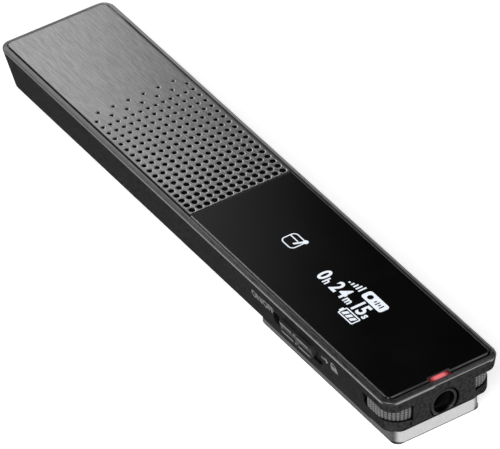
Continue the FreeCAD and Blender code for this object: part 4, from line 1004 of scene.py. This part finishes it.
def grille_points(side, low, high):
    """Rings across the grille: its grooved outer face, then its plain back.

    A groove's depth is its full depth times one less the size of a sine wave,
    once along the grille for the ribs and once up it for the rows. The top and
    bottom edges sink by a parabola, and the lower edge rises by a quarter circle
    at each end.
    """
    centre = np.array((high[0] - BEND, low[1] + BEND))
    straight, tall = high[1] - centre[1], high[2] - low[2]
    whole = straight + BEND * math.pi / 2 + PAST_BEND
    ribs, rows = int(round(whole / RIB_PITCH)), int(round(tall / ROW_HEIGHT))
    length = np.linspace(0.0, whole, ribs * PER_RIB + 1)
    share_up = np.linspace(0.0, 1.0, rows * PER_ROW + 1)
    on_rib = np.abs(np.sin(math.pi * ribs * length / whole)) ** 0.7
    on_row = np.abs(np.sin(math.pi * rows * share_up)) ** 0.6
    depth = RIB_DEPTH * (1 - on_rib[:, None]) + ROW_DEPTH * (1 - on_row)
    depth += EDGE_DEPTH * (2 * share_up - 1) ** 2
    depth = np.column_stack((depth, np.full((len(length), 2), GRILLE_THICK)))
    place, outward = bend_path(length, straight)
    flat = place[:, None, :] - outward[:, None, :] * depth[:, :, None]
    to_end = np.clip(np.minimum(length, whole - length), 0.0, END_ROUND)
    lifted = END_ROUND - np.sqrt(END_ROUND ** 2 - (END_ROUND - to_end) ** 2)
    z = high[2] - (1 - np.append(share_up, (1.0, 0.0))) * (tall - lifted[:, None])
    return np.concatenate(((flat + centre) * (side, 1.0), z[:, :, None]), axis=2)


def groove_shade_faces(rings):
    """1 for each face that lies in a groove or on the back, in the order of ring_faces; these are
    painted dark as shade.
    """
    rib, row = np.arange(len(rings) - 1) % PER_RIB, np.arange(rings.shape[1]) % PER_ROW
    dark = ((rib < 2) | (rib >= PER_RIB - 2))[:, None] | (row < 1) | (row >= PER_ROW - 1)
    dark[:, -3:] = True
    return np.append(dark, (True, True))


for name, side in (("left", -1), ("right", 1)):
    low, high = box_of("mic_grille_" + name)
    outer = max(abs(low[0]), abs(high[0]))
    rings = grille_points(side, low - (0.0, 0.0, LOWER_REACH), (outer, *high[1:]))
    grille = add_rings("knurled_grille_" + name, rings, False, "case", "grille_metal",
                       GRILLE_METAL, smooth_below=50.0)
    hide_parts("mic_grille_" + name)
    # Painted shade in the grooves and on the back.
    finish_faces(grille, (GRILLE_GROOVE_SHADE,), groove_shade_faces(rings))

# %% [markdown]
# ## Painted shade along the clip's lower edge
# The clip is stamped from plate. A narrow black strip runs along its lower edge,
# all the way round, as painted shade. It is a small closed profile carried round
# the clip's outline, a hair proud of the plate's side.

# %% Clip edge
clip_low, clip_high = box_of("clip_plate")
CLIP_ROUND, PROUD, STRIP_DEEP, STRIP_SIDE, STRIP_TOP = 1.2, 0.012, 0.1, 0.09, 0.13


def clip_ring(inset, rise):
    """The clip's outline moved in by inset, so far above its lower face."""
    return outline_ring(clip_high[0] - inset, clip_low[1] + inset, clip_high[1] - inset,
                        CLIP_ROUND - inset, CLIP_ROUND - inset, clip_low[2] + rise)


edge_rings = [clip_ring(-PROUD, 0.0), clip_ring(-PROUD, STRIP_SIDE), clip_ring(0.0, STRIP_TOP),
              clip_ring(STRIP_DEEP, STRIP_TOP), clip_ring(STRIP_DEEP, 0.0)]
# Painted shade: a black strip round the clip's lower edge.
clip_edge_shade = add_rings("clip_edge_shade_strip", edge_rings, True, "clip", "black_plastic",
                      BLACK_PLASTIC, smooth_below=50.0)
print("clip edge faces:", len(clip_edge_shade.data.polygons))

# %% [markdown]
# ## The socket's ring
# A turned ring lines the mouth of the headphone socket. It is a profile carried
# round the socket's axis. The shell is cut back under its near end, so the
# lower part of the ring is pushed back to follow that slope.

# %% Socket ring
ring_low, ring_high = box_of("jack_ring")
ring_z, ring_radius = (ring_low[2] + ring_high[2]) / 2, (ring_high[0] - ring_low[0]) / 2
LATHE_STEPS, RING_WIDE, RING_DEEP = 48, 0.55, 0.9
CUT_TOP, CUT_TALL, CUT_BACK, CUT_CLEAR = 3.9, 1.6, 1.7, 0.06


def turned_ring(inner, outer, front):
    """Radius and place along Y once round the section, carried round the axis.

    Below the cut's top a point is pushed back in proportion to how far below it is.
    """
    back = front + RING_DEEP
    section = np.array(((inner, back), (inner, front + 0.18), (inner + 0.05, front + 0.07),
                        (inner + 0.12, front + 0.02), (inner + 0.2, front),
                        (outer - 0.26, front), (outer - 0.12, front + 0.05),
                        (outer, front + 0.2), (outer, back)))
    turn = np.arange(LATHE_STEPS) * 2 * math.pi / LATHE_STEPS
    x = section[:, :1] * np.cos(turn)
    z = ring_z + section[:, :1] * np.sin(turn)
    slope = NEAR + CUT_BACK * np.clip(CUT_TOP - z, 0.0, None) / CUT_TALL + CUT_CLEAR
    return np.stack((x, np.maximum(section[:, 1:], slope), z), axis=-1)


socket_ring = add_rings("turned_socket_ring",
                        turned_ring(ring_radius - RING_WIDE, ring_radius, ring_low[1]), True,
                        "case", "knob_metal", RING_METAL, smooth_below=35.0)
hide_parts("jack_ring")
print("socket ring radius", round(ring_radius, 2), "at height", round(ring_z, 2))

# %% [markdown]
# ## The floor and the light
# The recorder lies on a pale sheet. The sheet adds a little light of its own for
# camera, glossy and transmission rays, which keeps it white without more light
# on the metal. The plate and the glass are level, so they mirror one patch of
# the room. A broad softbox fills that patch for the far end of the plate, and
# three faint ones over it, each reaching further right, soften its edge; past
# them the window stays black. The key softbox lights the near wall and the left
# one and lays the shadow to the right. Three dim ones stand where the near
# chamfer, the near edges and the left edges mirror them to the camera. The room
# is bright low down and dark overhead, so the chamfers read as separate bands.

# %% Floor
WHITE, SHEET_REACH, SHEET_Z, SHEET_SEEN, SHEET_MIRRORED = (1, 1, 1, 1), 3.0, -0.00002, 0.68, 0.85


def pale_sheet():
    """A diffuse sheet, with a share of plain white for rays that look at it."""
    material = bpy.data.materials.new("pale_sheet_finish")
    tree = clear_tree(material)
    cloud = noise(tree, 0.02)
    matt = add_node(tree, "BsdfDiffuse", {"Color": blend_colours(tree, cloud, grey(226),
                                                                 grey(232))})
    seen = add_node(tree, "LightPath").outputs
    direct = maths(tree, "MAXIMUM", seen["Is Camera Ray"], seen["Is Transmission Ray"])
    glow = add_node(tree, "Emission",
                    {"Color": WHITE, "Strength": maths(tree, "MULTIPLY", direct, SHEET_SEEN)})
    both = add_node(tree, "AddShader", {0: matt.outputs[0], 1: glow.outputs[0]})
    mirrored = add_node(tree, "Emission", {"Color": WHITE, "Strength": SHEET_MIRRORED})
    chosen = add_node(tree, "MixShader", {0: seen["Is Glossy Ray"], 1: both.outputs[0],
                                          2: mirrored.outputs[0]})
    add_node(tree, "OutputMaterial", {"Surface": chosen.outputs[0]})
    return material


sheet = bpy.data.meshes.new("pale_sheet")
corners = [(x * SHEET_REACH, y * SHEET_REACH, SHEET_Z)
           for x, y in ((-1, -1), (1, -1), (1, 1), (-1, 1))]
sheet.from_pydata(corners, [], [(0, 1, 2, 3)])
sheet.materials.append(pale_sheet())
floor = bpy.data.objects.new("pale_sheet", sheet)
bpy.context.scene.collection.objects.link(floor)
print("floor:", 2 * SHEET_REACH, "m square")


# %% Lights
def softbox(name, place, turn, wide, tall, power):
    """An area lamp at a place in millimetres; it shines along its own -Z."""
    lamp = bpy.data.lights.new(name, "AREA")
    lamp.shape, lamp.size, lamp.size_y, lamp.energy = "RECTANGLE", wide * MM, tall * MM, power
    holder = bpy.data.objects.new(name, lamp)
    bpy.context.scene.collection.objects.link(holder)
    holder.location, holder.rotation_euler = Vector(place) * MM, turn


MIRROR = np.array((0.4306, 0.6432, 0.6332))
ASIDE = np.array((0.8310, -0.5563, 0.0))
ABOVE = np.array((-0.3523, -0.5262, 0.7740))
BOX_LEFT, BOX_LOW, BOX_HIGH = -200.0, -60.0, 75.0
# Softboxes square to MIRROR, the way that level faces mirror the camera. Their
# edges are measured in that plane, in millimetres from the mirror line.
mirror_turn = Matrix((ASIDE, -ABOVE, MIRROR)).transposed().to_euler()
for name, away, right, power in (
        ("far_softbox", 180.0, -20.0, 0.045), ("fading_softbox_0", 182.0, -6.0, 0.0132),
        ("fading_softbox_1", 183.0, 2.0, 0.0132), ("fading_softbox_2", 184.0, 10.0, 0.0132)):
    place = MIRROR * away + ASIDE * (BOX_LEFT + right) / 2 + ABOVE * (BOX_LOW + BOX_HIGH) / 2
    softbox(name, place, mirror_turn, right - BOX_LEFT, BOX_HIGH - BOX_LOW, power)

LAMP_AIM = Vector((0, 0, 5))
for name, place, size, power in (("near_band_softbox", (516, -159, 1068), 450, 0.08),
                                 ("key_softbox", (-360, -300, 372), 400, 3.0),
                                 ("near_edge_softbox", (516, -760, 771), 270, 0.56),
                                 ("left_edge_softbox", (-760, 771, 516), 360, 0.45)):
    turn = (LAMP_AIM - Vector(place)).to_track_quat("-Z", "Y").to_euler()
    softbox(name, place, turn, size, size, power)


# %% Room
def room():
    """World light that falls from bright at the horizon to dim overhead."""
    world = bpy.context.scene.world = bpy.data.worlds.new("studio_room")
    tree = clear_tree(world)
    direction = add_node(tree, "TexCoord").outputs["Generated"]
    rise = add_node(tree, "SeparateXYZ", {0: direction}).outputs["Z"]
    sky = blend_colours(tree, share(tree, rise, 0.05, 0.5, smooth=True), grey(235), grey(36))
    light = add_node(tree, "Background", {"Color": sky, "Strength": 1.0})
    white = add_node(tree, "Background", {"Color": WHITE, "Strength": 1.0})
    seen = add_node(tree, "LightPath").outputs
    chosen = add_node(tree, "MixShader", {0: seen["Is Camera Ray"], 1: light.outputs[0],
                                          2: white.outputs[0]})
    add_node(tree, "OutputWorld", {"Surface": chosen.outputs[0]})


room()
print("lamps:", len(bpy.data.lights), "world:", bpy.context.scene.world.name)
